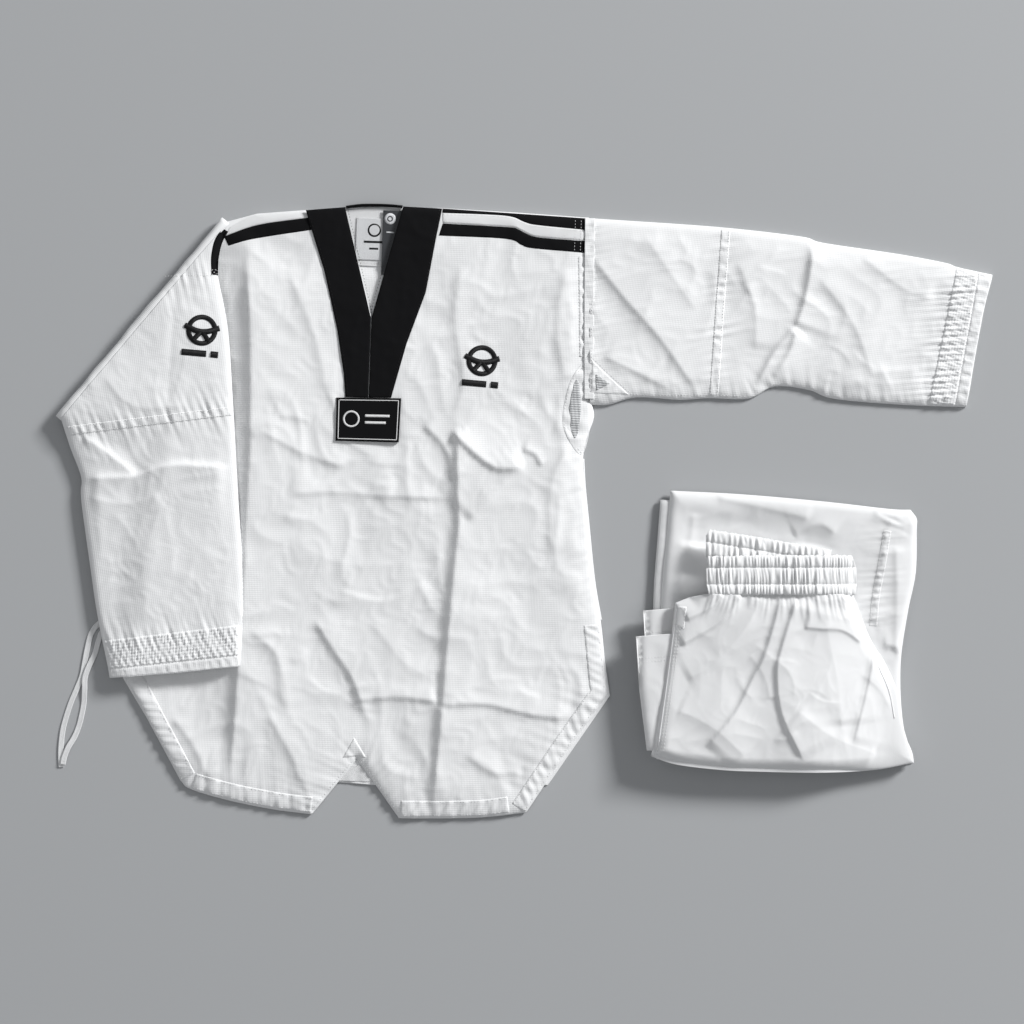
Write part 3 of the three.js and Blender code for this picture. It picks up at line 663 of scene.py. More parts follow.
TIE_WIDTH = 6.0
TIE_THICKNESS = 1.1
TIE_LOW = 1.0
TIE_HIGH = 2.5
TIE_START = 2.35
FRONT_TIE = [
    (-1, 5, TIE_START), (-5, 6.5, TIE_START), (-13, 8, TIE_LOW), (-24, 8, TIE_LOW),
    (-36, 2, TIE_LOW), (-44, -9, TIE_LOW), (-48, -24, TIE_LOW), (-51, -40, TIE_LOW),
    (-54, -55, TIE_LOW), (-60, -70, TIE_LOW), (-66, -84, TIE_LOW), (-71, -99, TIE_LOW),
    (-75, -114, TIE_LOW), (-77, -130, TIE_LOW), (-77.5, -143, TIE_LOW), (-77, -156, TIE_LOW),
]
BACK_TIE = [
    (-1, -5, TIE_START), (-5, -6.5, TIE_START), (-13, -7, TIE_LOW), (-23, -4, TIE_LOW),
    (-32, -7, TIE_LOW), (-36, -17, TIE_LOW), (-40, -31, TIE_LOW), (-46, -44, TIE_HIGH),
    (-50.5, -57, TIE_HIGH), (-51, -70, TIE_HIGH), (-52, -85, TIE_LOW), (-55, -101, TIE_LOW),
    (-58, -112, TIE_LOW), (-62.5, -123, TIE_LOW + 0.6), (-69, -134, TIE_HIGH),
    (-73, -144, TIE_HIGH), (-75, -153, TIE_HIGH),
]


def add_tie(name, node, route):
    """A flat woven tape, slightly dished, with a selvedge along both sides."""
    line = np.array(curve(route, 9))
    left = leftward(unit(np.gradient(line[:, :2], axis=0), slack=0))
    half = TIE_WIDTH / 2
    section = [(-1, 0), (-0.86, 0.85), (-0.7, 0.75), (0, 0.55), (0.7, 0.75), (0.86, 0.85)]
    section += [(1, 0), (0.86, -0.85), (0, -1), (-0.86, -0.85)]
    gone = gone_along(line)
    lean = 0.18 * np.sin(gone / 17)
    verts, uvs = [], []
    for across, up in section:
        x = line[:, 0] + left[:, 0] * across * half
        y = line[:, 1] + left[:, 1] * across * half
        z = line[:, 2] + up * TIE_THICKNESS / 2 + lean * across
        fx, fy = TIE_TAB.to_floor(x, y)
        verts.append(np.stack([fx, fy, np.maximum(z, 0.1)], axis=1))
        uvs.append(np.stack([gone, np.full(len(gone), across * half)], axis=1))
    count, sides = len(line), len(section)
    faces = []
    for k in range(sides):
        here, there = k * count, ((k + 1) % sides) * count
        faces.extend((here + i, there + i, there + i + 1, here + i + 1) for i in range(count - 1))
    faces.append(tuple(k * count for k in reversed(range(sides))))
    faces.append(tuple(k * count + count - 1 for k in range(sides)))
    tie = build(name, np.concatenate(verts), faces, np.concatenate(uvs), PLAIN)
    worn(tie, "jacket_body", [node])
    fx, fy = TIE_TAB.to_floor(line[:, 0], line[:, 1])


add_tie("side_tie_tape_front", "side_tie_front", FRONT_TIE)
add_tie("side_tie_tape_back", "side_tie_back", BACK_TIE)
for tie_name, tie_end in (("front", FRONT_TIE[-1]), ("back", BACK_TIE[-1])):
    hem_line = [(tie_end[0] - 2.4, tie_end[1] + 4), (tie_end[0] + 2.4, tie_end[1] + 4)]
    hem_level = tie_end[2] + 0.45
    hem = stitches("side_tie_hem_" + tie_name, TIE_TAB, [hem_line],
                   level_at(hem_level), WHITE_THREAD, 1.4, 0.4, 0.5, 0.25)
    worn(hem, "jacket_body")


# ---------------------------------------------------------------- jacket body

BODY = "jacket_body"
SHOULDER = [(73, 0), (155, -2)]
ARMHOLE = [(236, -5), (238, -44), (241, -110), (242.5, -161), (244, -205)]
LEFT_SIDE = [(244, -205), (249, -224), (242, -248), (238.5, -271), (241, -300), (246, -338),
             (255, -404), (264, -448), (270, -492), (274, -530)]
HEM_LEFT = [(189, -663), (140, -670), (86, -673), (49, -674)]
HEM_RIGHT = [(-47, -673), (-90, -669), (-138, -661), (-181, -650), (-193, -641)]
NOTCH = (1, -610)
FOLD_HIGH = (-166, -24)
FOLD_TURN = math.radians(-128.04)
FOLD_WAY = (math.cos(FOLD_TURN), math.sin(FOLD_TURN))
FOLD_LENGTH = 282


def down_the_fold(distance):
    return (FOLD_HIGH[0] + FOLD_WAY[0] * distance, FOLD_HIGH[1] + FOLD_WAY[1] * distance)


FOLD_LOW = down_the_fold(FOLD_LENGTH)
ARMHOLE_FOLD = down_the_fold(79.5)
NECKLINE = [(-33, -4), (1, -126), (31, -2)]
RIGHT_ARMPIT = (-220.5, -249)
STUB_EDGE = [RIGHT_ARMPIT, (-337, -246), ARMHOLE_FOLD]
RIGHT_SIDE = [RIGHT_ARMPIT, (-221, -271), (-229, -340), (-241, -430), (-256, -530)]
FRONT_EDGE = (
    SHOULDER + curve(ARMHOLE)[:-1] + curve(LEFT_SIDE) + [(237, -586)]
    + curve(HEM_LEFT) + [NOTCH] + curve(HEM_RIGHT) + [(-258, -529)] + curve(RIGHT_SIDE[::-1])[1:]
    + [ARMHOLE_FOLD, FOLD_HIGH, (-130, -13), (-75, -8)] + NECKLINE
)
FRONT_EDGE = FRONT_EDGE[::-1]
BODY_RIM = [p for p in FRONT_EDGE if p not in NECKLINE]

FOLDED_RIDGE = [(-142, -43), (-133, -131), (-128, -274), (-130, -357), (-130, -439),
                (-134, -549), (-138, -660)]
MIDDLE_RIDGE = [(97, -222), (100, -270), (102, -317), (104, -350), (102, -379), (98, -442),
                (93, -539), (86, -673)]
BODY_CREASES = [
    # line, rise, width of its left flank, width of its right flank
    (FOLDED_RIDGE, 6.0, 60, 6),
    (MIDDLE_RIDGE, 6.6, 58, 5.5),
    ([(-88, -322), (-39, -317), (16, -319), (81, -319)], 2.2, 18, 3.5),
    ([(-30, -423), (-11, -429), (24, -435), (57, -421), (70, -408)], 1.9, 4, 26),
    ([(-52, -455), (-38, -477), (-7, -522), (9, -562)], 3.2, 20, 4),
    ([(-10, -546), (40, -540), (90, -543)], 3.0, 16, 3.2),
    ([(88, -547), (141, -544), (190, -554), (236, -557)], 3.4, 18, 3.2),
    ([(93, -240), (101, -253), (142, -284), (175, -280)], 4.0, 14, 3.5),
    ([(176, -278), (166, -284), (138, -316), (113, -344)], 3.6, 4, 22),
    ([(171, -262), (186, -268), (194, -281)], 2.4, 6, 3),
    ([(60, -238), (85, -262), (100, -300)], 2.6, 14, 4),
    ([(-96, -66), (-60, -150), (-44, -214)], 2.0, 20, 8),
    ([(214, -60), (205, -120), (216, -190)], 2.2, 22, 6),
    ([(98, -60), (92, -120), (104, -190), (92, -236)], 2.0, 20, 6),
    ([(226, -250), (205, -300), (206, -380)], 2.2, 24, 6),
    ([(-120, -250), (-70, -275), (-20, -290)], 2.0, 14, 4),
    ([(-128, -262), (-96, -236), (-60, -240)], 1.6, 12, 4),
    ([(-100, -560), (-70, -610), (-50, -655)], 2.2, 18, 5),
    ([(-122, -470), (-90, -500), (-74, -560)], 1.8, 20, 6),
    ([(120, -600), (150, -618), (185, -620)], 1.8, 12, 4),
    ([(-205, -570), (-180, -600), (-160, -640)], 2.2, 14, 5),
    ([(-80, -372), (-20, -396), (60, -392)], 1.2, 10, 24),
    ([(10, -455), (48, -500), (84, -520)], 1.4, 20, 6),
]


def body_relief(x, y):
    z = ridges(x, y, BODY_CREASES, 0.12) + scattered(x, y, (-120, -650, 225, -60), 42, 1.0, 14)
    beyond = np.clip((-136 - x) / 44, 0, 1)
    hollow = beyond * eased((-y - 34) / 30) * eased((y + 640) / 160)
    return z - 8.0 * hollow


def body_top(x, y):
    """The upper face of the jacket's front."""
    far, _ = rim(x, y, BODY_RIM)
    roll = rounded(far, 11)
    calm = eased(far / 26)
    soft = 0.8 * waves(x, y, 120, 11) + 0.9 * crumple(x, y, 75, 12) + 0.32 * crumple(x, y, 27, 13)
    z = 2.3 + 4.2 * roll + calm * (1.2 + body_relief(x, y) + soft)
    z = z + puckers(x, y, ARMHOLE, 0.8, 9, 15, 21) * eased(far / 3)
    z = z + puckers(x, y, LEFT_SIDE[2:], 0.7, 8, 13, 22) * eased(far / 3)
    for seed, line in enumerate((HEM_LEFT, HEM_RIGHT, [(274, -530), (189, -663)],
                                 [(-258, -529), (-193, -641)], [(49, -674), NOTCH, (-47, -673)])):
        z = z + puckers(x, y, line, 0.8, 12, 24, 30 + seed)
    return np.maximum(z, 2.1)


def back_top(x, y):
    far, _ = rim(x, y, BACK_EDGE)
    in_neck = eased((-67 - y) / 12) * np.exp(-(x / 34) ** 2 - ((y + 96) / 46) ** 2)
    return 1.75 + 0.25 * waves(x, y, 40, 41) * eased((22 - far) / 20) + 3.6 * in_neck


BACK_EDGE = (
    SHOULDER + curve(ARMHOLE)[:-1] + curve(LEFT_SIDE[:7]) + [(277, -531), (212, -632)]
    + [(60, -640), (-80, -634), (-196, -630), (-261, -529), (-245, -420), (-222, -271)]
    + [RIGHT_ARMPIT, ARMHOLE_FOLD, FOLD_HIGH, (-130, -13), (-75, -7), (0, -1)]
)[::-1]


def add_body():
    front = cloth("front_cloth", JACKET, FRONT_EDGE, body_top, COTTON_THICK, DOBBY, 2.9)
    worn(front, BODY, ["front_panel"])
    back = cloth("back_cloth", JACKET, BACK_EDGE, back_top, 1.1, DOBBY, 7)
    worn(back, BODY, ["back_panel"])
    for side, line in (("left", LEFT_SIDE[3:8]), ("right", RIGHT_SIDE[1:4])):
        seam = ribbon("side_seam_ridge_" + side, JACKET, curve(line), 3.0, 1.6, level_at(1.2), DOBBY)
        worn(seam, BODY, ["side_seam_" + side])


def add_stub():
    outline = STUB_EDGE[::-1]
    top = pressed(6.4, STUB_EDGE, 157)
    stub = cloth("right_sleeve_stub_cloth", JACKET, outline, top, COTTON_THICK, DOBBY, 4)
    worn(stub, BODY, ["right_sleeve_stub"])
    under = cloth("right_sleeve_stub_back", JACKET, outline, level_at(1.4), COTTON_THICK, DOBBY, 12)
    worn(under, BODY)


# ---------------------------------------------------------------- collar and neck

COLLAR_LEFT = [(31, 0), (0.3, -124), (0.3, -212), (25, -211), (40, -151), (59, -94), (69, -30), (74, -1)]
COLLAR_RIGHT = [(-33, -3), (-76, -8), (-69, -29), (-53, -75), (-37, -138), (-28, -187), (-25.5, -212),
                (-0.3, -212), (-0.3, -124)]


def collar_top(x, y):
    shoulder = rounded(np.maximum(-y, 0) + 1.5, 10)
    return 4.6 + (body_top(x, y * 0.97 - 6) - 4.2) * shoulder * 0.55 + 2.9 * shoulder


def add_collar():
    for side, outline in (("left", COLLAR_LEFT), ("right", COLLAR_RIGHT)):
        def top(x, y, loop=outline):
            far, _ = rim(x, y, loop)
            return collar_top(x, y) + 0.5 * rounded(far, 3) + 0.12 * waves(x, y, 16, 61)

        band = cloth("collar_cloth_" + side, JACKET, outline, top, 1.3, BLACK, 3.0)
        worn(band, BODY, ["collar_band_" + side])
    lines = [
        beside([(31, 0), (0.3, -124)], -2.5),
        beside(curve([(25, -211), (40, -151), (59, -94), (69, -30), (74, -1)]), 2.5),
        beside(curve([(-25.5, -212), (-28, -187), (-37, -138), (-53, -75), (-69, -29), (-76, -8)]), -2.5),
        beside([(-33, -3), (-0.3, -124)], 2.5),
    ]
    rows = stitches("collar_stitching", JACKET, lines, over(collar_top, 0.55), BLACK_THREAD)
    worn(rows, BODY)
    neck = [(-32, -2.5), (-16, 0), (0, 0.8), (16, 0.8), (30, 0)]
    roll = ribbon("collar_cloth_back", JACKET, curve(neck), 3.2, 5.5, level_at(2.0), BLACK, sides=10)
    worn(roll, BODY, ["collar_band_back"])


def patch_top(x, y):
    return 11.6 + 0.25 * waves(x, y, 50, 71)


def add_patch():
    corners = [(-35, -213), (-34.5, -260.5), (35, -260), (36, -211.5)]

    def top(x, y):
        far, _ = rim(x, y, corners)
        return patch_top(x, y) + 0.35 * rounded(far, 2)

    patch = cloth("front_patch_cloth", JACKET, corners, top, 3.2, BLACK, 2.4)
    worn(patch, BODY, ["front_patch"])
    frame_line = [(-32.2, -215.6), (-31.8, -257.9), (32.4, -257.4), (33.2, -214.2)]
    edge = ribbon("front_patch_border", JACKET, frame_line, 1.0, 0.5, over(patch_top, 0.4), WHITE_THREAD,
                  closed=True, pitch=1.2)
    worn(edge, BODY)
    ring = ribbon("front_patch_ring", JACKET, circle(-18, -236, 8.2), 2.2, 0.6, over(patch_top, 0.4),
                  WHITE_THREAD, closed=True)
    worn(ring, BODY)
    for k, (y, end) in enumerate(((-232, 24), (-239.5, 20))):
        bar = ribbon("front_patch_bar_%d" % (k + 1), JACKET, [(-3, y), (end, y + 0.4)], 3.0, 0.6,
                     over(patch_top, 0.4), WHITE_THREAD)
        worn(bar, BODY)


def add_neck_lining():
    outline = [(-66, -10), (-66, -61)] + curve([(-66, -61), (0, -67), (66, -61)])
    outline += [(66, -4), (0, -2)]
    lining = cloth("neck_lining", JACKET, outline, lambda x, y: 2.9 + 0.15 * waves(x, y, 30, 81), 0.6,
                   LINING, 5)
    worn(lining, BODY, ["back_neck_facing"])
    seam = stitches("neck_lining_stitching", JACKET, [[(-60, -58), (0, -64), (60, -58)]],
                    level_at(2.9), WHITE_THREAD)
    worn(seam, BODY)
    label = cloth("size_label_cloth", JACKET, oblong(-20, -60, 48, 46),
                  lambda x, y: 3.9 + 0.2 * waves(x, y, 30, 82), 0.6, LABEL, 3)
    worn(label, BODY, ["size_label"])
    ring = ribbon("size_label_ring", JACKET, circle(0, -27, 6.5), 2.0, 0.25, level_at(4.0), BLACK_THREAD,
                  closed=True)
    worn(ring, BODY)
    for k, (y, half) in enumerate(((-40, 11), (-47.5, 5))):
        bar = ribbon("size_label_bar_%d" % (k + 1), JACKET, [(-half, y), (half, y)], 2.4, 0.25,
                     level_at(4.0), BLACK_THREAD)
        worn(bar, BODY)


def add_hang_tag():
    body = "hang_tag_card"
    outline = oblong(9, -76, 40, 71)

    def top(x, y):
        return 5.5 + 0.5 * eased((-30 - y) / 45)

    tag = cloth("hang_tag_sheet", JACKET, outline, top, 0.6, CARD, 4)
    worn(tag, body, ["hang_tag"])
    hole = (17, -14)
    disc = cloth("hang_tag_disc", JACKET, circle(*hole, 6.2), over(top, 0.15), 0.2, PRINT, 2, rings=())
    worn(disc, body)
    eyelet = ribbon("hang_tag_eyelet", JACKET, circle(*hole, 2.6), 1.2, 0.4, over(top, 0.2), CARD,
                    closed=True)
    worn(eyelet, body)
    bar = ribbon("hang_tag_bar", JACKET, [(13, -29), (22, -29)], 1.6, 0.2, over(top, 0.1), PRINT)
    worn(bar, body)
    foot = ribbon("hang_tag_line", JACKET, [(14, -70), (17, -70)], 1.2, 0.2, over(top, 0.1), PRINT)
    worn(foot, body)


# ---------------------------------------------------------------- shoulder tapes, facings, emblem

TAPE_MIDDLE = [(75, -17), (146, -18.5), (158, -20.5), (170, -26), (184, -29), (233, -31)]
TAPE_HIGH = [(74, -6), (123, -6), (150, -7.5), (165, -13), (180, -16), (234, -19.5)]
TAPE_LOW = [(71, -31), (145, -32), (162, -38), (176, -41.5), (233, -44.5)]


def seam_lines(name, lines, body=BODY, lay=JACKET, top=body_top, lift=0.0):
    """Rows of white stitches on a face."""
    rows = stitches(name, lay, lines, over(top, lift), WHITE_THREAD)
    worn(rows, body)


def add_trim(name, node, outline, lift, material, body=BODY, lay=JACKET, top=body_top, pitch=3.0,
             relief=None):
    """A piece of cloth sewn on a face, a little higher than it."""
    def face(x, y):
        far, _ = rim(x, y, outline)
        z = top(x, y) + lift * rounded(far, 2.0)
        return z if relief is None else z + relief(x, y) * eased(far / 2)

    piece = cloth(name, lay, outline, face, COTTON_THICK, material, pitch)
    worn(piece, body, [node] if node else [])


def add_shoulder_tapes():
    high, middle, low = curve(TAPE_HIGH), curve(TAPE_MIDDLE), curve(TAPE_LOW)
    edge = curve([(-72, -16), (-128, -26), (-165, -40)])
    white = curve([(-75, -8.5), (-130, -14.5), (-159, -29)])
    black = curve([(-69, -29.5), (-130, -41), (-160, -50)])
    gap = 0.3
    tapes = [
        ("left_shoulder_white", "shoulder_tape_white_left", high, middle),
        ("left_shoulder_black", "shoulder_tape_black_left", beside(middle, -gap), low),
        ("left_shoulder_back_black", "shoulder_tape_back_left", [(74, -0.5), (233, -6)], beside(high, gap)),
        ("right_shoulder_white", "shoulder_tape_white_right", white, edge),
        ("right_shoulder_black", "shoulder_tape_black_right", beside(edge, -gap), black),
    ]
    for name, node, upper, lower in tapes:
        material, slot = (BLACK, "black_cloth") if "black" in name else (PLAIN, "white_trim")
        add_trim(name, node, upper + lower[::-1], TAPE_LIFT, material)
    seam_lines("left_shoulder_stitching", [beside(middle, 1.5), beside(high, -1.5)], lift=0.75)
    crossing = [[(x, y) for y in (-8, -43)] for x in (221, 227.5)]
    seam_lines("left_shoulder_cross_stitching", crossing, lift=0.85)


FACING = 19.0


def add_facings():
    vent_left = [(264, -452), (274, -530), (237, -586), (189, -663)]
    vent_right = [(-193, -641), (-258, -529), (-244, -446)]
    hem_left = curve([(171, -664), (140, -669), (86, -672), (51, -673)])
    hem_right = curve([(-48, -672), (-90, -668), (-138, -660), (-180, -650)])
    for name, node, path, seed in (
        ("left_vent_facing", "side_vent_facing_left", vent_left, 1),
        ("right_vent_facing", "side_vent_facing_right", vent_right, 2),
        ("left_hem_facing", "hem_facing_left", hem_left, 3),
        ("right_hem_facing", "hem_facing_right", hem_right, 4),
    ):
        path = [tuple(p) for p in spaced(path, 12, False)]
        outline = strip(path, -1.0, -FACING)

        def slanted(x, y, line=path, draw=seed):
            along, side = measure(x, y, line)
            return 0.55 * waves(along * gone_along(line)[-1] - side * 0.6, 0 * x, 11, 50 + draw, 7)

        add_trim(name, node, outline, 0.7, DOBBY, relief=slanted, pitch=2.6)
        seam_lines(name + "_stitching", [beside(path, -FACING + 1.6), beside(path, -2.6)], lift=0.7)
    gusset = [(-15, -609), (0, -607), (11, -608), (-3, -586)]
    add_trim("notch_gusset", "hem_notch_gusset", gusset, 1.0, DOBBY, pitch=2)
    seam_lines("notch_stitching", [[(-47, -668), (-4, -612)], [(48, -668), (5, -612)]], lift=0.3)
    back_hem = cloth("back_hem_cloth", JACKET, oblong(-160, -635, 320, 18),
                     lambda x, y: 2.6 + 0.3 * waves(x, y * 0.3, 14, 91), 0.6, LINING, 3)
    worn(back_hem, BODY, ["back_hem_facing"])
    tab = cloth("tie_tab_cloth", TIE_TAB, oblong(0, -10, 16, 20), level_at(3.0), 0.9, PLAIN, 3)
    worn(tab, BODY, ["tie_tab"])


def add_armhole():
    band_line = [(235.5, -48), (238, -100), (240.5, -159)]
    add_trim("left_armhole_band", "armhole_band_left", strip(band_line, -1, -10), 0.6, DOBBY,
             relief=lambda x, y: 0.45 * waves(y, 0 * x, 9, 97, 7))
    lines = [beside(curve(ARMHOLE[1:]), -2), beside(band_line, -9.5)]
    seam_lines("left_armhole_stitching", lines, lift=0.5)
    gusset = [(241, -161), (222, -184), (214, -223), (219, -247), (236, -267), (244, -244), (245, -215),
              (243.5, -195)]

    def slack(x, y):
        return 0.5 * waves(x * 0.5, y, 12, 98, 7)

    add_trim("left_gusset", "underarm_gusset_left", curve(gusset, 4, True), 0.5, DOBBY, pitch=2.4,
             relief=slack)
    mesh = [(228, -183), (221, -215), (227, -250), (233, -238), (234, -205)]
    add_trim("left_mesh_insert", "mesh_insert_left", curve(mesh, 4, True), 1.1, MESH, pitch=2.0,
             relief=slack)
    seam_lines("left_gusset_stitching", [beside(curve(gusset[:5]), 2)], lift=0.5)


def add_emblem(name, node, body, lay, x, y, top, turn):
    """An embroidered ring with a knotted belt across it, over a long bar and a short one."""
    face = over(top, CREST_LIFT)
    emblem = Lay(*lay.to_floor(x, y), turn)

    def height(px, py):
        fx, fy = emblem.to_floor(px, py)
        return face(*lay.from_floor(fx, fy))

    ring = circle(0, 8, 14.5)
    belt = curve([(-19, 12), (-6, 7), (6, 7), (19, 12)])
    pieces = [
        ribbon(name + "_ring", emblem, ring, 5.4, 1.0, height, BLACK_THREAD, closed=True),
        ribbon(name + "_belt", emblem, belt, 6.2, 1.4, height, BLACK_THREAD),
        ribbon(name + "_belt_end_left", emblem, [(-1, 6), (-9, -4)], 5.4, 1.5, height, BLACK_THREAD),
        ribbon(name + "_belt_end_right", emblem, [(1, 6), (9, -4)], 5.4, 1.5, height, BLACK_THREAD),
        ribbon(name + "_bar_long", emblem, [(-20, -17.5), (7, -17.5)], 7.0, 1.0, height, BLACK_THREAD),
        ribbon(name + "_bar_short", emblem, [(12, -17.5), (20, -17.5)], 7.0, 1.0, height, BLACK_THREAD),
    ]
    worn(pieces[0], body, [node])
    for piece in pieces[1:]:
        worn(piece, body)


add_body()
add_stub()
add_collar()
add_patch()
add_neck_lining()
add_hang_tag()
add_shoulder_tapes()
add_facings()
add_armhole()
add_emblem("chest_emblem_thread", "chest_emblem", BODY, JACKET, 123, -175, body_top, -5)


# ---------------------------------------------------------------- sleeves


def elbow_blend(obj, side, lay, level):
    """Bakes the layer's place into its mesh. The two points across the elbow crease are worked out but not
    used.
    """
    start = (*lay.to_floor(ELBOW[side] - ELBOW_REACH, -84), level)
    end = (*lay.to_floor(ELBOW[side] + ELBOW_REACH, -84), level)
    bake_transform(obj)


def add_sleeve_layer(name, side, lay, outline, top, pitch, nodes):
    """One layer of a sleeve, which takes the place of an upper sleeve's node and a forearm's."""
    layer = cloth(name, lay, outline, top, COTTON_THICK, DOBBY, pitch)
    elbow_blend(layer, side, lay, ELBOW_LEVEL[side])
    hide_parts(*nodes)


ELBOW = {"left": 240, "right": 226}
ELBOW_LEVEL = {"left": 8, "right": 18}
ELBOW_REACH = 9
LEFT_CREST = [(0.3, -0.5), (138, 3.8), (232, 2.6), (259, -2), (342, -6), (394, -10.5), (409, -14),
              (447.7, -18.5)]
LEFT_CUFF = [(447.7, -18.5), (440.5, -67), (433.3, -166.7)]
LEFT_UNDER = [(433.3, -166.7), (364, -171), (288, -172), (259, -165), (221, -165), (194, -181),
              (150, -185), (118, -190), (71, -192), (41, -203), (20, -205)]
LEFT_EDGE = curve(LEFT_CREST) + curve(LEFT_CUFF)[1:] + curve(LEFT_UNDER)[1:] + [(19.5, -199), (9.7, -100)]
LEFT_RIM = [(-40, -1)] + curve(LEFT_CREST) + [(480, -20), (466, -166)] + curve(LEFT_UNDER) + [(-20, -205)]
LEFT_CREASES = [
    ([(241, -2), (247, -19), (244, -67), (236, -102)], 4.6, 30, 4),
    ([(238, -96), (217, -127), (200, -168)], 4.0, 16, 3.5),
    ([(238, -98), (233, -126), (217, -158)], 3.0, 12, 3.5),
    ([(4, -40), (47, -85), (90, -125), (138, -181)], 3.4, 34, 6),
    ([(28, -150), (70, -165), (120, -186)], 2.4, 12, 5),
    ([(256, -40), (300, -88), (330, -150)], 2.0, 24, 6),
    ([(165, -30), (190, -80), (196, -130)], 2.0, 24, 6),
    ([(60, -12), (92, -50), (128, -92)], 1.4, 20, 6),
    ([(300, -12), (352, -44), (388, -52)], 1.5, 16, 5),
    ([(288, -166), (330, -140), (380, -132)], 1.6, 5, 16),
]


def left_top(x, y):
    """The upper face of the left sleeve, from the armhole to the cuff."""
    far, _ = rim(x, y, LEFT_RIM)
    z = 2.4 + 4.6 * rounded(far, 10)
    calm = eased(far / 24) * eased((x + 4) / 20)
    soft = 0.7 * waves(x, y, 110, 111) + 0.8 * crumple(x, y, 70, 112) + 0.28 * crumple(x, y, 26, 113)
    sharp = ridges(x, y, LEFT_CREASES, 0.12) + scattered(x, y, (20, -170, 390, -15), 22, 0.9, 114)
    z = z + calm * (1.0 + sharp + soft)
    z = z + puckers(x, y, [(0, -3), (19.5, -199)], 0.8, 9, 14, 121) * eased(far / 3)
    z = z + puckers(x, y, LEFT_UNDER, 0.6, 9, 12, 122) * eased(far / 3)
    z = z + puckers(x, y, [(150, 0), (155, -184)], 0.6, 8, 10, 123) * eased(far / 3)
    z = z + puckers(x, y, [(408, -13), (394, -170)], 1.1, 6, 18, 124) * eased(far / 3)
    return np.maximum(z, 2.0)


RIGHT_CREST = [(-20, 14.5), (3, 8.5), (68, 12.4), (156, 7.8), (210, 4.3), (262, 1.0), (362, -5.0),
               (437.3, -18.2)]
RIGHT_CUFF = [(437.3, -18.2), (436, -90), (432.9, -162.7)]
RIGHT_UNDER = [(432.9, -162.7), (364.7, -168.5), (306, -170), (234, -171), (210, -168), (176, -176),
               (145.6, -181.3)]
RIGHT_FOLD = [(141, -178), (-46, 24)]
RIGHT_EDGE = RIGHT_FOLD + curve(RIGHT_CREST) + curve(RIGHT_CUFF)[1:] + curve(RIGHT_UNDER)[1:]
RIGHT_RIM = (
    [(119, -198), (-70, 0), (-60, 30)] + curve(RIGHT_CREST) + [(470, -20), (470, -162)]
    + curve(RIGHT_UNDER)[1:]
)
RIGHT_CREASES = [
    ([(212, -168), (214, -139), (216, -106), (209, -66), (221, 3)], 4.4, 3.5, 30),
    ([(165, -160), (190, -132), (216, -106)], 3.2, 3.5, 16),
    ([(232, -165), (246, -120), (238, -80)], 1.6, 5, 18),
    ([(20, -40), (90, -70), (140, -150)], 1.4, 22, 30),
    ([(-10, 0), (40, -20), (110, -30)], 1.0, 16, 22),
    ([(250, -140), (300, -110), (380, -118)], 1.0, 26, 18),
    ([(236, -20), (300, -40), (384, -42)], 1.0, 20, 26),
    ([(100, -130), (140, -100), (146, -40)], 1.5, 16, 5),
]


def held_up(x, y):
    """1 where the folded sleeve lies on the body, falling to 0 where it lies beside it."""
    jx, jy = JACKET.from_floor(*RIGHT_SLEEVE.to_floor(x, y))
    total = np.full(np.shape(x), -1e9)
    for loop in (BODY_RIM, STUB_EDGE):
        far, inside = rim(jx, jy, loop)
        total = np.maximum(total, np.where(inside, far, -far))
    return eased((total + 34) / 44)


def right_under_top(x, y):
    return 2.2 + 9.0 * held_up(x, y)


def right_top(x, y):
    """The upper face of the folded right sleeve, which is the sleeve's back."""
    far, _ = rim(x, y, RIGHT_RIM)
    base = 6.4 + 6.0 * held_up(x, y)
    z = base + 4.8 * rounded(far, 9)
    calm = eased(far / 22)
    soft = 0.35 * waves(x, y, 110, 131) + 0.4 * crumple(x, y, 66, 132) + 0.2 * crumple(x, y, 26, 133)
    sharp = ridges(x, y, RIGHT_CREASES, 0.12) + scattered(x, y, (0, -160, 380, -10), 16, 0.7, 134)
    z = z + calm * (1.0 + sharp + soft)
    z = z + puckers(x, y, [(2, -50), (9, 12)], 0.8, 8, 15, 141) * eased(far / 3)
    z = z + puckers(x, y, [(160, -178), (153, 5)], 0.8, 8, 13, 142) * eased(far / 3)
    z = z + puckers(x, y, [(391, -166), (392, -13)], 0.7, 6, 12, 143) * eased(far / 3)
    return z


def quilt(lines, count, seed):
    """Stitched channels between two lines, gathered so that they wrinkle across."""
    first, last = lines

    def relief(x, y):
        _, low = measure(x, y, first)
        _, high = measure(x, y, last)
        low, high = np.abs(low), np.abs(high)
        share = low / (low + high + 1e-9) * count
        ridge = np.abs(np.sin(math.pi * share)) ** 0.6
        gathers = waves(y, 0.3 * x, 4.0, seed, 9)
        return 0.8 * ridge + 0.6 * gathers * (0.4 + 0.6 * ridge)

    rows = []
    for k in range(1, count):
        t = k / count
        rows.append([tuple(np.array(a) * (1 - t) + np.array(b) * t) for a, b in zip(first, last)])
    return relief, rows


def add_cuff(side, lay, top, quilt_lines, hem, seed):
    body = side + "_forearm"
    relief, rows = quilt(quilt_lines, 9, seed)
    outline = quilt_lines[0] + quilt_lines[1][::-1]
    add_trim(side + "_cuff_quilted_band", side + "_cuff_quilting", outline, 0.5, DOBBY, body, lay, top,
             1.25, relief=relief)
    add_trim(side + "_cuff_hem_band", side + "_cuff_hem", hem, 0.6, DOBBY, body, lay, top, 2.4,
             relief=lambda x, y: 0.6 * waves(y, x * 0.2, 6, seed + 1, 7))
    seam_lines(side + "_cuff_stitching", rows[::2] + [quilt_lines[1]], body, lay, top, 0.75)


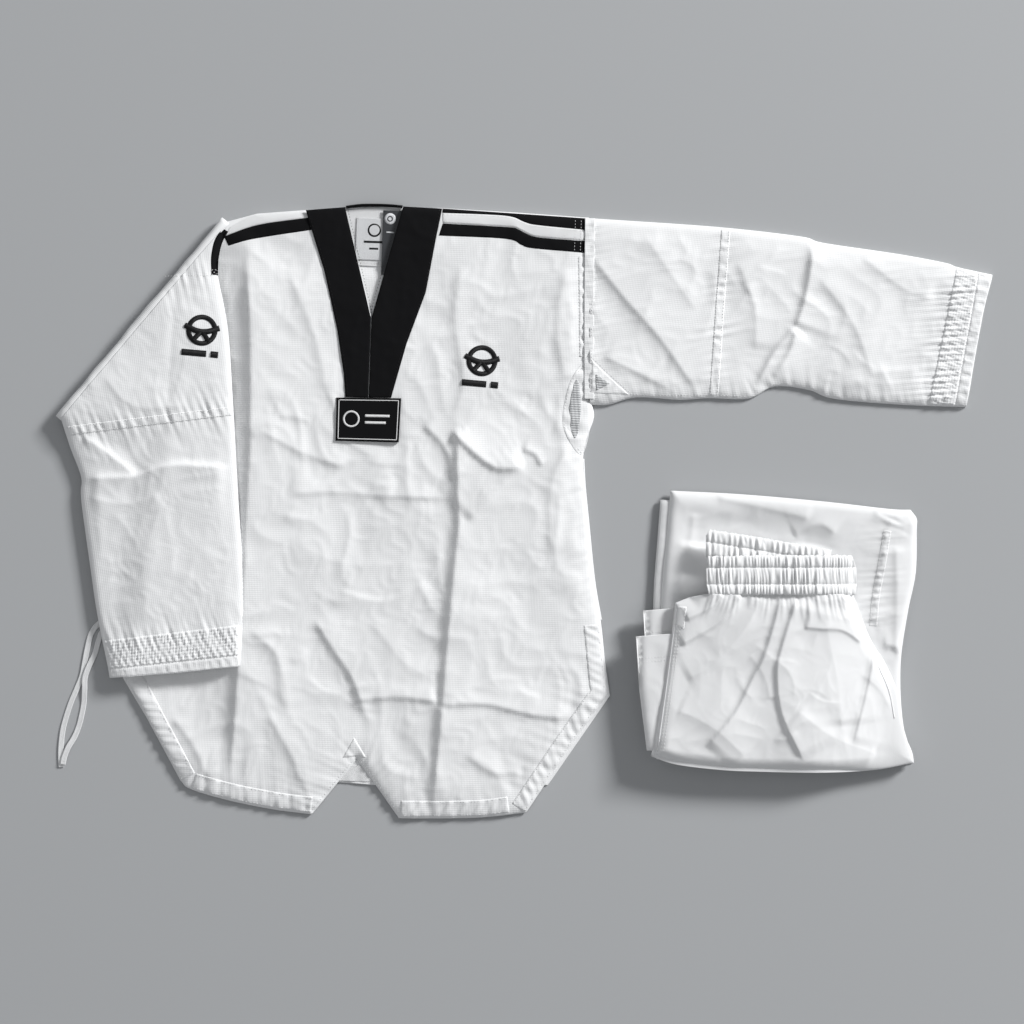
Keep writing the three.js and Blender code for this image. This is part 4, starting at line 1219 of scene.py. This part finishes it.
def add_sleeve_band(side, lay, top, path, seed):
    body = side + "_upper_sleeve"
    add_trim(side + "_sleeve_band", side + "_sleeve_seam_band", strip(path, -5, 5), 0.55, DOBBY, body,
             lay, top, 2.2, relief=lambda x, y: 0.35 * waves(y, x * 0.4, 9, seed, 7))
    seam_lines(side + "_sleeve_band_stitching", [beside(path, -4), beside(path, 4)], body, lay, top, 0.6)


def add_armhole_seam():
    """The turned-in seam allowance that joins sleeve and body."""
    line = curve([(1, -1), (10, -100), (20, -199)])

    def top(x, y):
        return 1.6 + 7.0 * rounded(2 - y, 9) + 0.4 * waves(0.35 * x, y, 8, 183, 7)

    seam = cloth("left_armhole_seam", LEFT_SLEEVE, strip(line, -6.5, 4), top, 1.2, DOBBY, 1.8)
    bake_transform(seam)


def add_left_sleeve():
    add_sleeve_layer("left_sleeve_cloth", "left", LEFT_SLEEVE, LEFT_EDGE, left_top, 2.4,
                     ["left_sleeve_front", "left_forearm_front"])
    add_sleeve_layer("left_sleeve_underside", "left", LEFT_SLEEVE, LEFT_EDGE,
                     pressed(1.3, LEFT_EDGE, 151), 2,
                     ["left_sleeve_back", "left_forearm_back"])
    add_sleeve_band("left", LEFT_SLEEVE, left_top, [(150, 1), (152, -90), (155, -182)], 161)
    add_cuff("left", LEFT_SLEEVE, left_top, ([(407, -15), (391, -169)], [(431.5, -18), (420, -167)]),
             [(432, -18), (447, -19.5), (440, -67), (432.8, -165.5), (420.6, -167)], 171)
    gusset = [(17.5, -156), (20.5, -193), (62, -190), (40, -174)]
    window = [(22.5, -170), (25, -190.5), (41, -180.5)]
    for name, node, outline, lift, material, slot in (
        ("left_sleeve_gusset_cloth", "left_sleeve_gusset", gusset, 0.6, DOBBY, "white_trim"),
        ("left_sleeve_gusset_mesh", None, window, 1.2, MESH, "airy_mesh"),
    ):
        add_trim(name, node, outline, lift, material, "left_upper_sleeve", LEFT_SLEEVE, left_top, 2.0,
                 relief=lambda x, y: 0.3 * waves(x, y, 12, 181))
    lines = [[(18, -154), (42, -173), (66, -190)], [(21, -192), (80, -189), (150, -182), (190, -179)],
             [(2, -6), (12, -100), (20.5, -196)]]
    seam_lines("left_sleeve_stitching", lines, "left_upper_sleeve", LEFT_SLEEVE, left_top, 0.1)


def add_right_sleeve():
    add_sleeve_layer("right_sleeve_cloth", "right", RIGHT_SLEEVE, RIGHT_EDGE, right_top, 2.4,
                     ["right_sleeve_back", "right_forearm_back"])
    add_sleeve_layer("right_sleeve_underside", "right", RIGHT_SLEEVE, RIGHT_EDGE,
                     pressed(right_under_top, RIGHT_EDGE, 154), 2,
                     ["right_sleeve_front", "right_forearm_front"])
    body = "right_upper_sleeve"
    add_sleeve_band("right", RIGHT_SLEEVE, right_top, [(158, 6), (158, -80), (158, -176)], 162)
    add_cuff("right", RIGHT_SLEEVE, right_top, ([(392, -14), (391.5, -164)], [(425, -18), (423, -162)]),
             [(425.5, -18), (436.8, -19), (435.5, -90), (432.2, -161.5), (423.6, -162)], 172)
    tape = curve([(-43, 20), (-30, 10), (-12, 4), (7, 2)])
    tape += curve([(8, 9), (-12, 12.5), (-27, 18), (-38, 26)])
    add_trim("right_shoulder_back_black", "shoulder_tape_turned", tape, TAPE_LIFT, BLACK, body,
             RIGHT_SLEEVE, right_top, 2.0)
    armhole = [[(2, -50), (5, -20), (8, 3)]]
    seam_lines("right_armhole_stitching", armhole, body, RIGHT_SLEEVE, right_top, 0.1)
    square = [[(1.5, 2), (1.5, 9)], [(1.5, 9), (7.5, 9)], [(1.5, 2), (7.5, 9)], [(1.5, 9), (7.5, 2)]]
    seam_lines("right_tape_end_stitching", square, body, RIGHT_SLEEVE, right_top, 0.8)
    add_emblem("sleeve_emblem_thread", "sleeve_emblem", body, RIGHT_SLEEVE, 74, -17, right_top, -5)


def add_fold_roll():
    """The cloth that rolls over the shoulder fold, from under the body to the top of the sleeve."""
    line = spaced([(FOLD_HIGH[0] + 2, FOLD_HIGH[1] + 2), FOLD_LOW], 4, False)
    outward = np.array([FOLD_WAY[1], -FOLD_WAY[0]])
    radius = 5.5
    cloth_length = 280
    along = np.linspace(0, 1, len(line))
    low = 0.9
    high = right_top(*RIGHT_SLEEVE.from_floor(*JACKET.to_floor(line[:, 0], line[:, 1])))
    turns = np.linspace(-math.pi / 2, math.pi / 2, 13)
    reach = [radius * math.cos(turn) for turn in turns] + [-5.0]
    rise = [math.sin(turn) for turn in turns] + [0.97]
    soft = 0.6 * waves(along * cloth_length, 0 * along, 40, 191)
    verts, uvs, faces = [], [], []
    for k, (out, up) in enumerate(zip(reach, rise)):
        spots = line + outward * ((out + soft * out / radius)[:, None] - 1.0)
        z = (low + high) / 2 + (high - low) / 2 * up
        fx, fy = JACKET.to_floor(spots[:, 0], spots[:, 1])
        verts.append(np.stack([fx, fy, z], axis=1))
        uvs.append(np.stack([along * cloth_length, np.full(len(line), k * 2.2)], axis=1))
    count = len(line)
    for k in range(len(reach) - 1):
        faces.extend((k * count + i, k * count + i + 1, (k + 1) * count + i + 1, (k + 1) * count + i)
                     for i in range(count - 1))
    roll = build("shoulder_fold_roll", np.concatenate(verts), faces, np.concatenate(uvs), DOBBY)
    thicken = roll.modifiers.new("thickness", "SOLIDIFY")
    thicken.thickness = COTTON_THICK / 1000
    thicken.offset = -1
    bpy.context.view_layer.objects.active = roll
    bpy.ops.object.modifier_apply(modifier=thicken.name)
    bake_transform(roll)


add_left_sleeve()
add_armhole_seam()
add_right_sleeve()
add_fold_roll()


# ---------------------------------------------------------------- trousers

LEGS = "trouser_legs"
WAIST = "trouser_waist"
LEG_SIDES = [
    [(15, 299), (93, 295), (184, 287), (255, 279), (279, 278)],
    [(279, 278), (286, 268), (286, 255), (285, 209), (277, 169), (270, 126), (268, 97), (269, 63),
     (273, 32), (281, 11), (283, -1)],
    [(283, -1), (238, -8), (184, -10), (116, -9), (69, -7), (4, 3), (-3, 14)],
    [(-3, 14), (-1, 90), (6, 200), (15, 299)],
]
LEG_EDGE = [point for side in LEG_SIDES for point in curve(side)[:-1]]
INNER_EDGE = [(4, 289), (100, 285), (250, 268), (276, 262), (266, 120), (272, 8), (120, -4), (0, 3),
              (-9, 18), (-6, 120), (-3, 200)]
INSEAM = [(262, 270), (252.5, 255), (246, 215), (240, 183), (237, 150)]
LEG_CREASES = [
    (INSEAM, 1.6, 16, 3),
    ([(262, 240), (263, 180), (262, 120)], 1.8, 12, 4),
    ([(284, 262), (258, 262), (238, 276)], 1.6, 5, 8),
    ([(64, 292), (110, 282), (170, 268)], 1.6, 14, 4),
    ([(150, 250), (178, 262), (196, 252)], 1.8, 12, 4),
    ([(40, 276), (36, 240), (20, 180)], 1.6, 14, 4),
    ([(248, 128), (262, 126), (272, 100)], 2.0, 10, 2.4),
]


def leg_top(x, y):
    far, _ = rim(x, y, LEG_EDGE)
    bent = y + 0.09 * (x - 120) + 5 * waves(x, y, 70, 204)
    hollow = eased((bent - 232) / 12) * eased((282 - bent) / 30)
    hollow = hollow * eased((x - 14) / 34) * eased((206 - x) / 50)
    z = 7.2 + 5.6 * rounded(far, 9)
    soft = 0.5 * waves(x, y, 90, 201) + 0.5 * crumple(x, y, 50, 202) + 0.12 * crumple(x, y, 20, 203)
    z = z + eased(far / 20) * (0.6 + soft)
    for line, rise, left, right in LEG_CREASES:
        z = z + crease(x, y, line, rise, left, right, 0.08, 1.2) * eased(far / 5)
    z = z + puckers(x, y, INSEAM, 0.9, 9, 14, 211) * eased(far / 4)
    return z - 5.5 * hollow


def add_legs():
    shin = cloth("trouser_leg_outer_cloth", TROUSERS, LEG_EDGE, leg_top, TWILL_THICK, TWILL, 2.6)
    worn(shin, LEGS, ["trouser_leg_left"])

    def thigh_top(x, y):
        return 2.2 + 3.6 * eased((y - 270) / 22)

    pressed_thigh = pressed(thigh_top, LEG_EDGE, 160, 0.8)
    thigh = cloth("trouser_leg_outer_underside", TROUSERS, LEG_EDGE, pressed_thigh, TWILL_THICK, TWILL, 5)
    worn(thigh, LEGS)

    def inner_top(x, y):
        far, _ = rim(x, y, INNER_EDGE)
        return 5.0 + 3.2 * rounded(far, 4) + 0.4 * waves(x, y, 60, 221)

    inner = cloth("trouser_leg_inner_cloth", TROUSERS, INNER_EDGE, inner_top, TWILL_THICK, TWILL, 6,
                  under=level_at(3.4))
    worn(inner, LEGS, ["trouser_leg_right"])
    seam = INSEAM[1:]
    add_trim("trouser_inner_seam", "trouser_inseam", strip(curve(seam), -4.5, 4.5), 0.35, TWILL, LEGS,
             TROUSERS, leg_top, 2.0, relief=lambda x, y: 0.35 * waves(y, x * 0.5, 8, 222))
    rows = [beside(curve(seam), 3.4), beside(curve(seam), -3.4)]
    seam_lines("trouser_inner_seam_stitching", rows, LEGS, TROUSERS, leg_top, 0.6)


def leg_end_edge(left, height):
    return [(left + 12, 14), (left + 190, 14), (left + 190, height + 14), (left + 34, height + 3),
            (left, height), (left + 4, height - 60)]


def add_leg_ends():
    for name, left, height, level, seed in (("left", -16, 167, 15.0, 1), ("right", -24, 139, 22.4, 2)):
        outline = leg_end_edge(left, height)
        loop = outline[:2] + [(left + 190, height + 60), (left + 2, height + 50)] + outline[5:]

        def top(x, y, loop=loop, level=level, seed=seed):
            far, _ = rim(x, y, loop)
            soft = 0.5 * waves(x, y, 60, 230 + seed) + 0.3 * crumple(x, y, 30, 240 + seed)
            return level + 0.8 + 4.6 * rounded(far, 8) + eased(far / 18) * soft

        upper = cloth("trouser_%s_end_cloth" % name, TROUSERS, outline, top, TWILL_THICK, TWILL, 4)
        worn(upper, LEGS, ["trouser_leg_end_" + name])
        under = pressed(level, outline, 240 + seed, 0.8)
        lower = cloth("trouser_%s_end_underside" % name, TROUSERS, outline, under, 0.9, TWILL, 5)
        worn(lower, LEGS)
        hem = [[(left + 3, height - d), (left + 40, height - d + 2.6)] for d in (24, 28)]
        seam_lines("trouser_%s_end_stitching" % name, hem, LEGS, TROUSERS, top, 0.1)


BAND_LOW, BAND_HIGH = 185.0, 228.0
WAIST_EDGE = [(52, 186), (34, 182), (19, 176)] + curve([(19, 176), (8, 90), (-7, 8)])[1:-1] + curve(
    [(-7, 8), (20, -1), (69, -7), (116, -9), (184, -10), (238, -8), (282, 0)])[:-1] + curve(
    [(282, 0), (268, 48), (263, 80), (250, 110), (234, 136), (214, 186)])
WAIST_RIM = [p for p in WAIST_EDGE if p[1] < 184 or p[0] < 40] + [(212, 240), (52, 240)]
WAIST_FOLDS = [
    # line, rise, width of its left flank, width of its right flank
    ([(133, 186), (124, 150), (112, 113), (103, 97), (82, 56), (50, 18)], 3.4, 34, 1.7),
    ([(151, 186), (132, 124), (128, 97), (134, 52), (158, 2)], 3.4, 44, 1.7),
    ([(91, 186), (80, 168), (62, 152), (24, 130)], 3.2, 2.4, 16),
    ([(70, 186), (58, 172), (30, 158)], 2.4, 2.4, 9),
    ([(196, 186), (218, 160), (234, 126), (229, 86), (212, 20)], 2.8, 26, 2.2),
    ([(158, 150), (180, 148), (202, 146), (224, 132)], 2.0, 16, 1.8),
    ([(176, 186), (186, 140), (196, 90), (200, 40)], 2.6, 34, 16),
    ([(112, 186), (96, 150), (60, 110), (30, 92)], 2.0, 6, 22),
    ([(208, 186), (230, 168), (246, 120)], 2.0, 10, 2.4),
    ([(150, 60), (190, 30), (240, 10)], 2.4, 10, 30),
    ([(20, 60), (60, 40), (96, 8)], 1.6, 22, 8),
    ([(100, 120), (116, 96), (122, 70)], 1.0, 14, 5),
]
TUCKED = [WAIST_FOLDS[k][0] for k in (0, 1, 4)]


def band_pleats(x, y):
    """Short pleats that fan out below the gathered waistband."""
    draw = np.random.default_rng(255)
    total = 0 * x
    for start in np.arange(57, 214, 4.6):
        length = draw.uniform(12, 46)
        spread = (start - 134) / 80 * 0.45 + draw.uniform(-0.12, 0.12)
        top_x = start + draw.uniform(-1, 1)
        line = [(top_x, 187), (top_x + spread * length * 0.4, 187 - length * 0.5),
                (top_x + spread * length, 187 - length)]
        along, side = measure(x, y, line)
        flank = np.where(side > 0, 3.6, 1.3)
        total = total + draw.uniform(1.2, 2.7) * (1 - eased(along)) * np.exp(-np.abs(side / flank) ** 1.3)
    return total


def waist_level(x):
    """The stack under the waist part is lower past the ends of the legs."""
    return 34.0 - 16.0 * eased((x - 168) / 92)


def waist_top(x, y):
    far, _ = rim(x, y, WAIST_RIM)
    level = waist_level(x)
    foot = 15.0 + 12.5 * eased((190 - x) / 70) * eased((y - 6) / 26)
    z = foot + (level - foot) * rounded(far, 16)
    folds = ridges(x, y, WAIST_FOLDS, 0.07)
    folds = folds + sum(crease(x, y, line, -1.3, 1.0, 1.6, 0.07, 2) for line in TUCKED)
    soft = 1.3 * waves(x, y, 110, 252) + 0.5 * crumple(x, y, 60, 253) + 0.08 * crumple(x, y, 22, 254)
    soft = soft + scattered(x, y, (0, 10, 240, 150), 18, 0.9, 256)
    return z + eased(far / 16) * (folds + soft) + band_pleats(x, y) * eased(far / 8)


def waistband(rows, seed, level, pitch=4.2):
    """Gathered elastic band: rows that bulge between seams, crossed by little upright folds."""

    def top(x, y):
        z = level(x)
        ripple = np.abs(waves(x, y * 0.10, 1.8 * pitch, seed, 5))
        ripple = ripple + 0.5 * waves(x, y * 0.05, pitch * 2.2, seed + 1, 7)
        swell = 0 * x
        for low, high in zip(rows, rows[1:]):
            share = np.clip((y - low(x)) / (high(x) - low(x)), 0, 1)
            swell = np.maximum(swell, np.sqrt(np.maximum(4 * share * (1 - share), 0)))
        return z + 2.2 * swell + 1.25 * ripple * (0.3 + 0.7 * swell)

    return top


def wavy(points, rise, pitch, seed):
    """A line with a soft random ripple."""
    line = spaced(points, 1.5, False)
    shift = rise * waves(line[:, 0], 0 * line[:, 0], pitch, seed)
    return [(float(x), float(y + s)) for (x, y), s in zip(line, shift)]


def add_waist():
    level = pressed(lambda x, y: waist_level(x) - 6.2, WAIST_EDGE, 166)
    back = cloth("trouser_back_cloth", TROUSERS, WAIST_EDGE, level, TWILL_THICK, TWILL, 4)
    worn(back, WAIST, ["trouser_back_panel"])
    front = cloth("trouser_front_cloth", TROUSERS, WAIST_EDGE, waist_top, TWILL_THICK, TWILL, 1.6)
    worn(front, WAIST, ["trouser_front_panel"])
    side = curve([(17, 170), (8, 100), (-4, 14)])
    ridge = ribbon("trouser_side_ridge", TROUSERS, beside(side, 3.0), 1.6, 0.6, waist_top, TWILL)
    worn(ridge, WAIST, ["trouser_side_seam"])
    rows = [beside(side, 6.5), beside(side, 9.5)]
    seam_lines("trouser_side_stitching", rows, WAIST, TROUSERS, waist_top, 0.2)
    crotch = curve([(246, 108), (258, 80), (264, 50)])
    seam = ribbon("trouser_crotch_ridge", TROUSERS, beside(crotch, -4), 1.6, 0.6, waist_top, TWILL)
    worn(seam, WAIST, ["trouser_crotch_seam"])
    welt = [(21, 173), (31, 172), (28, 147), (19, 152)]
    add_trim("trouser_pocket_welt", "pocket_welt", welt, 0.7, TWILL, WAIST, TROUSERS, waist_top, 2.2)
    tacks = [[(20, 171), (31, 170)], [(18.5, 152), (28, 148)], [(30, 171), (27.5, 149)]]
    seam_lines("trouser_pocket_stitching", tacks, WAIST, TROUSERS, waist_top, 0.8)


def add_waistbands():
    def front_level(x):
        return waist_level(x) + 3.6 - 2.0 * eased((60 - x) / 14) - 3.0 * eased((x - 204) / 14)

    seams = (196.5, 215.0)
    front_rows = [lambda x, y=y: y + 0 * x for y in (BAND_LOW, *seams, BAND_HIGH)]
    front_top = waistband(front_rows, 261, front_level)
    low = wavy([(55, 184.5), (140, 185.5), (216, 184)], 0.5, 6, 271)
    high = wavy([(212, 228), (130, 228.5), (54, 227)], 0.8, 5, 272)
    outline = low + [(217.5, 196), (217, 214)] + high + [(52, 216), (52.5, 196)]
    front = cloth("waistband_front_cloth", TROUSERS, outline, front_top, 1.6, TWILL, 0.9)
    worn(front, WAIST, ["waistband_front"])
    lines = [[(54, y), (215, y)] for y in seams]
    seam_lines("waistband_front_stitching", lines, WAIST, TROUSERS, front_top, 0.3)
    join_line = [(71.5, 186), (70.5, 205), (71.5, 227)]
    join = ribbon("waistband_join", TROUSERS, join_line, 1.4, 0.7, front_top, TWILL)
    worn(join, WAIST)

    def slope(offset):
        return lambda x: 256.0 - (x - 57) * 0.165 + offset

    rear_rows = [slope(-30), slope(-13.5), slope(0)]

    def rear_level(x):
        return waist_level(x) - 3.0 - 0.5 * eased((x - 150) / 40)

    rear_top = waistband(rear_rows, 281, rear_level, 3.3)
    high = wavy([(190, 233.5), (124, 245), (57, 256)], 0.8, 5, 273)
    low = [(52, 226), (184, 212)]
    rear = cloth("waistband_rear_cloth", TROUSERS, low + high + [(52.5, 250)], rear_top, 1.6, TWILL, 0.9)
    worn(rear, WAIST, ["waistband_rear"])
    row = [(x, rear_rows[1](x)) for x in (54, 188)]
    seam_lines("waistband_rear_stitching", [row], WAIST, TROUSERS, rear_top, 0.3)


add_legs()
add_leg_ends()
add_waist()
add_waistbands()
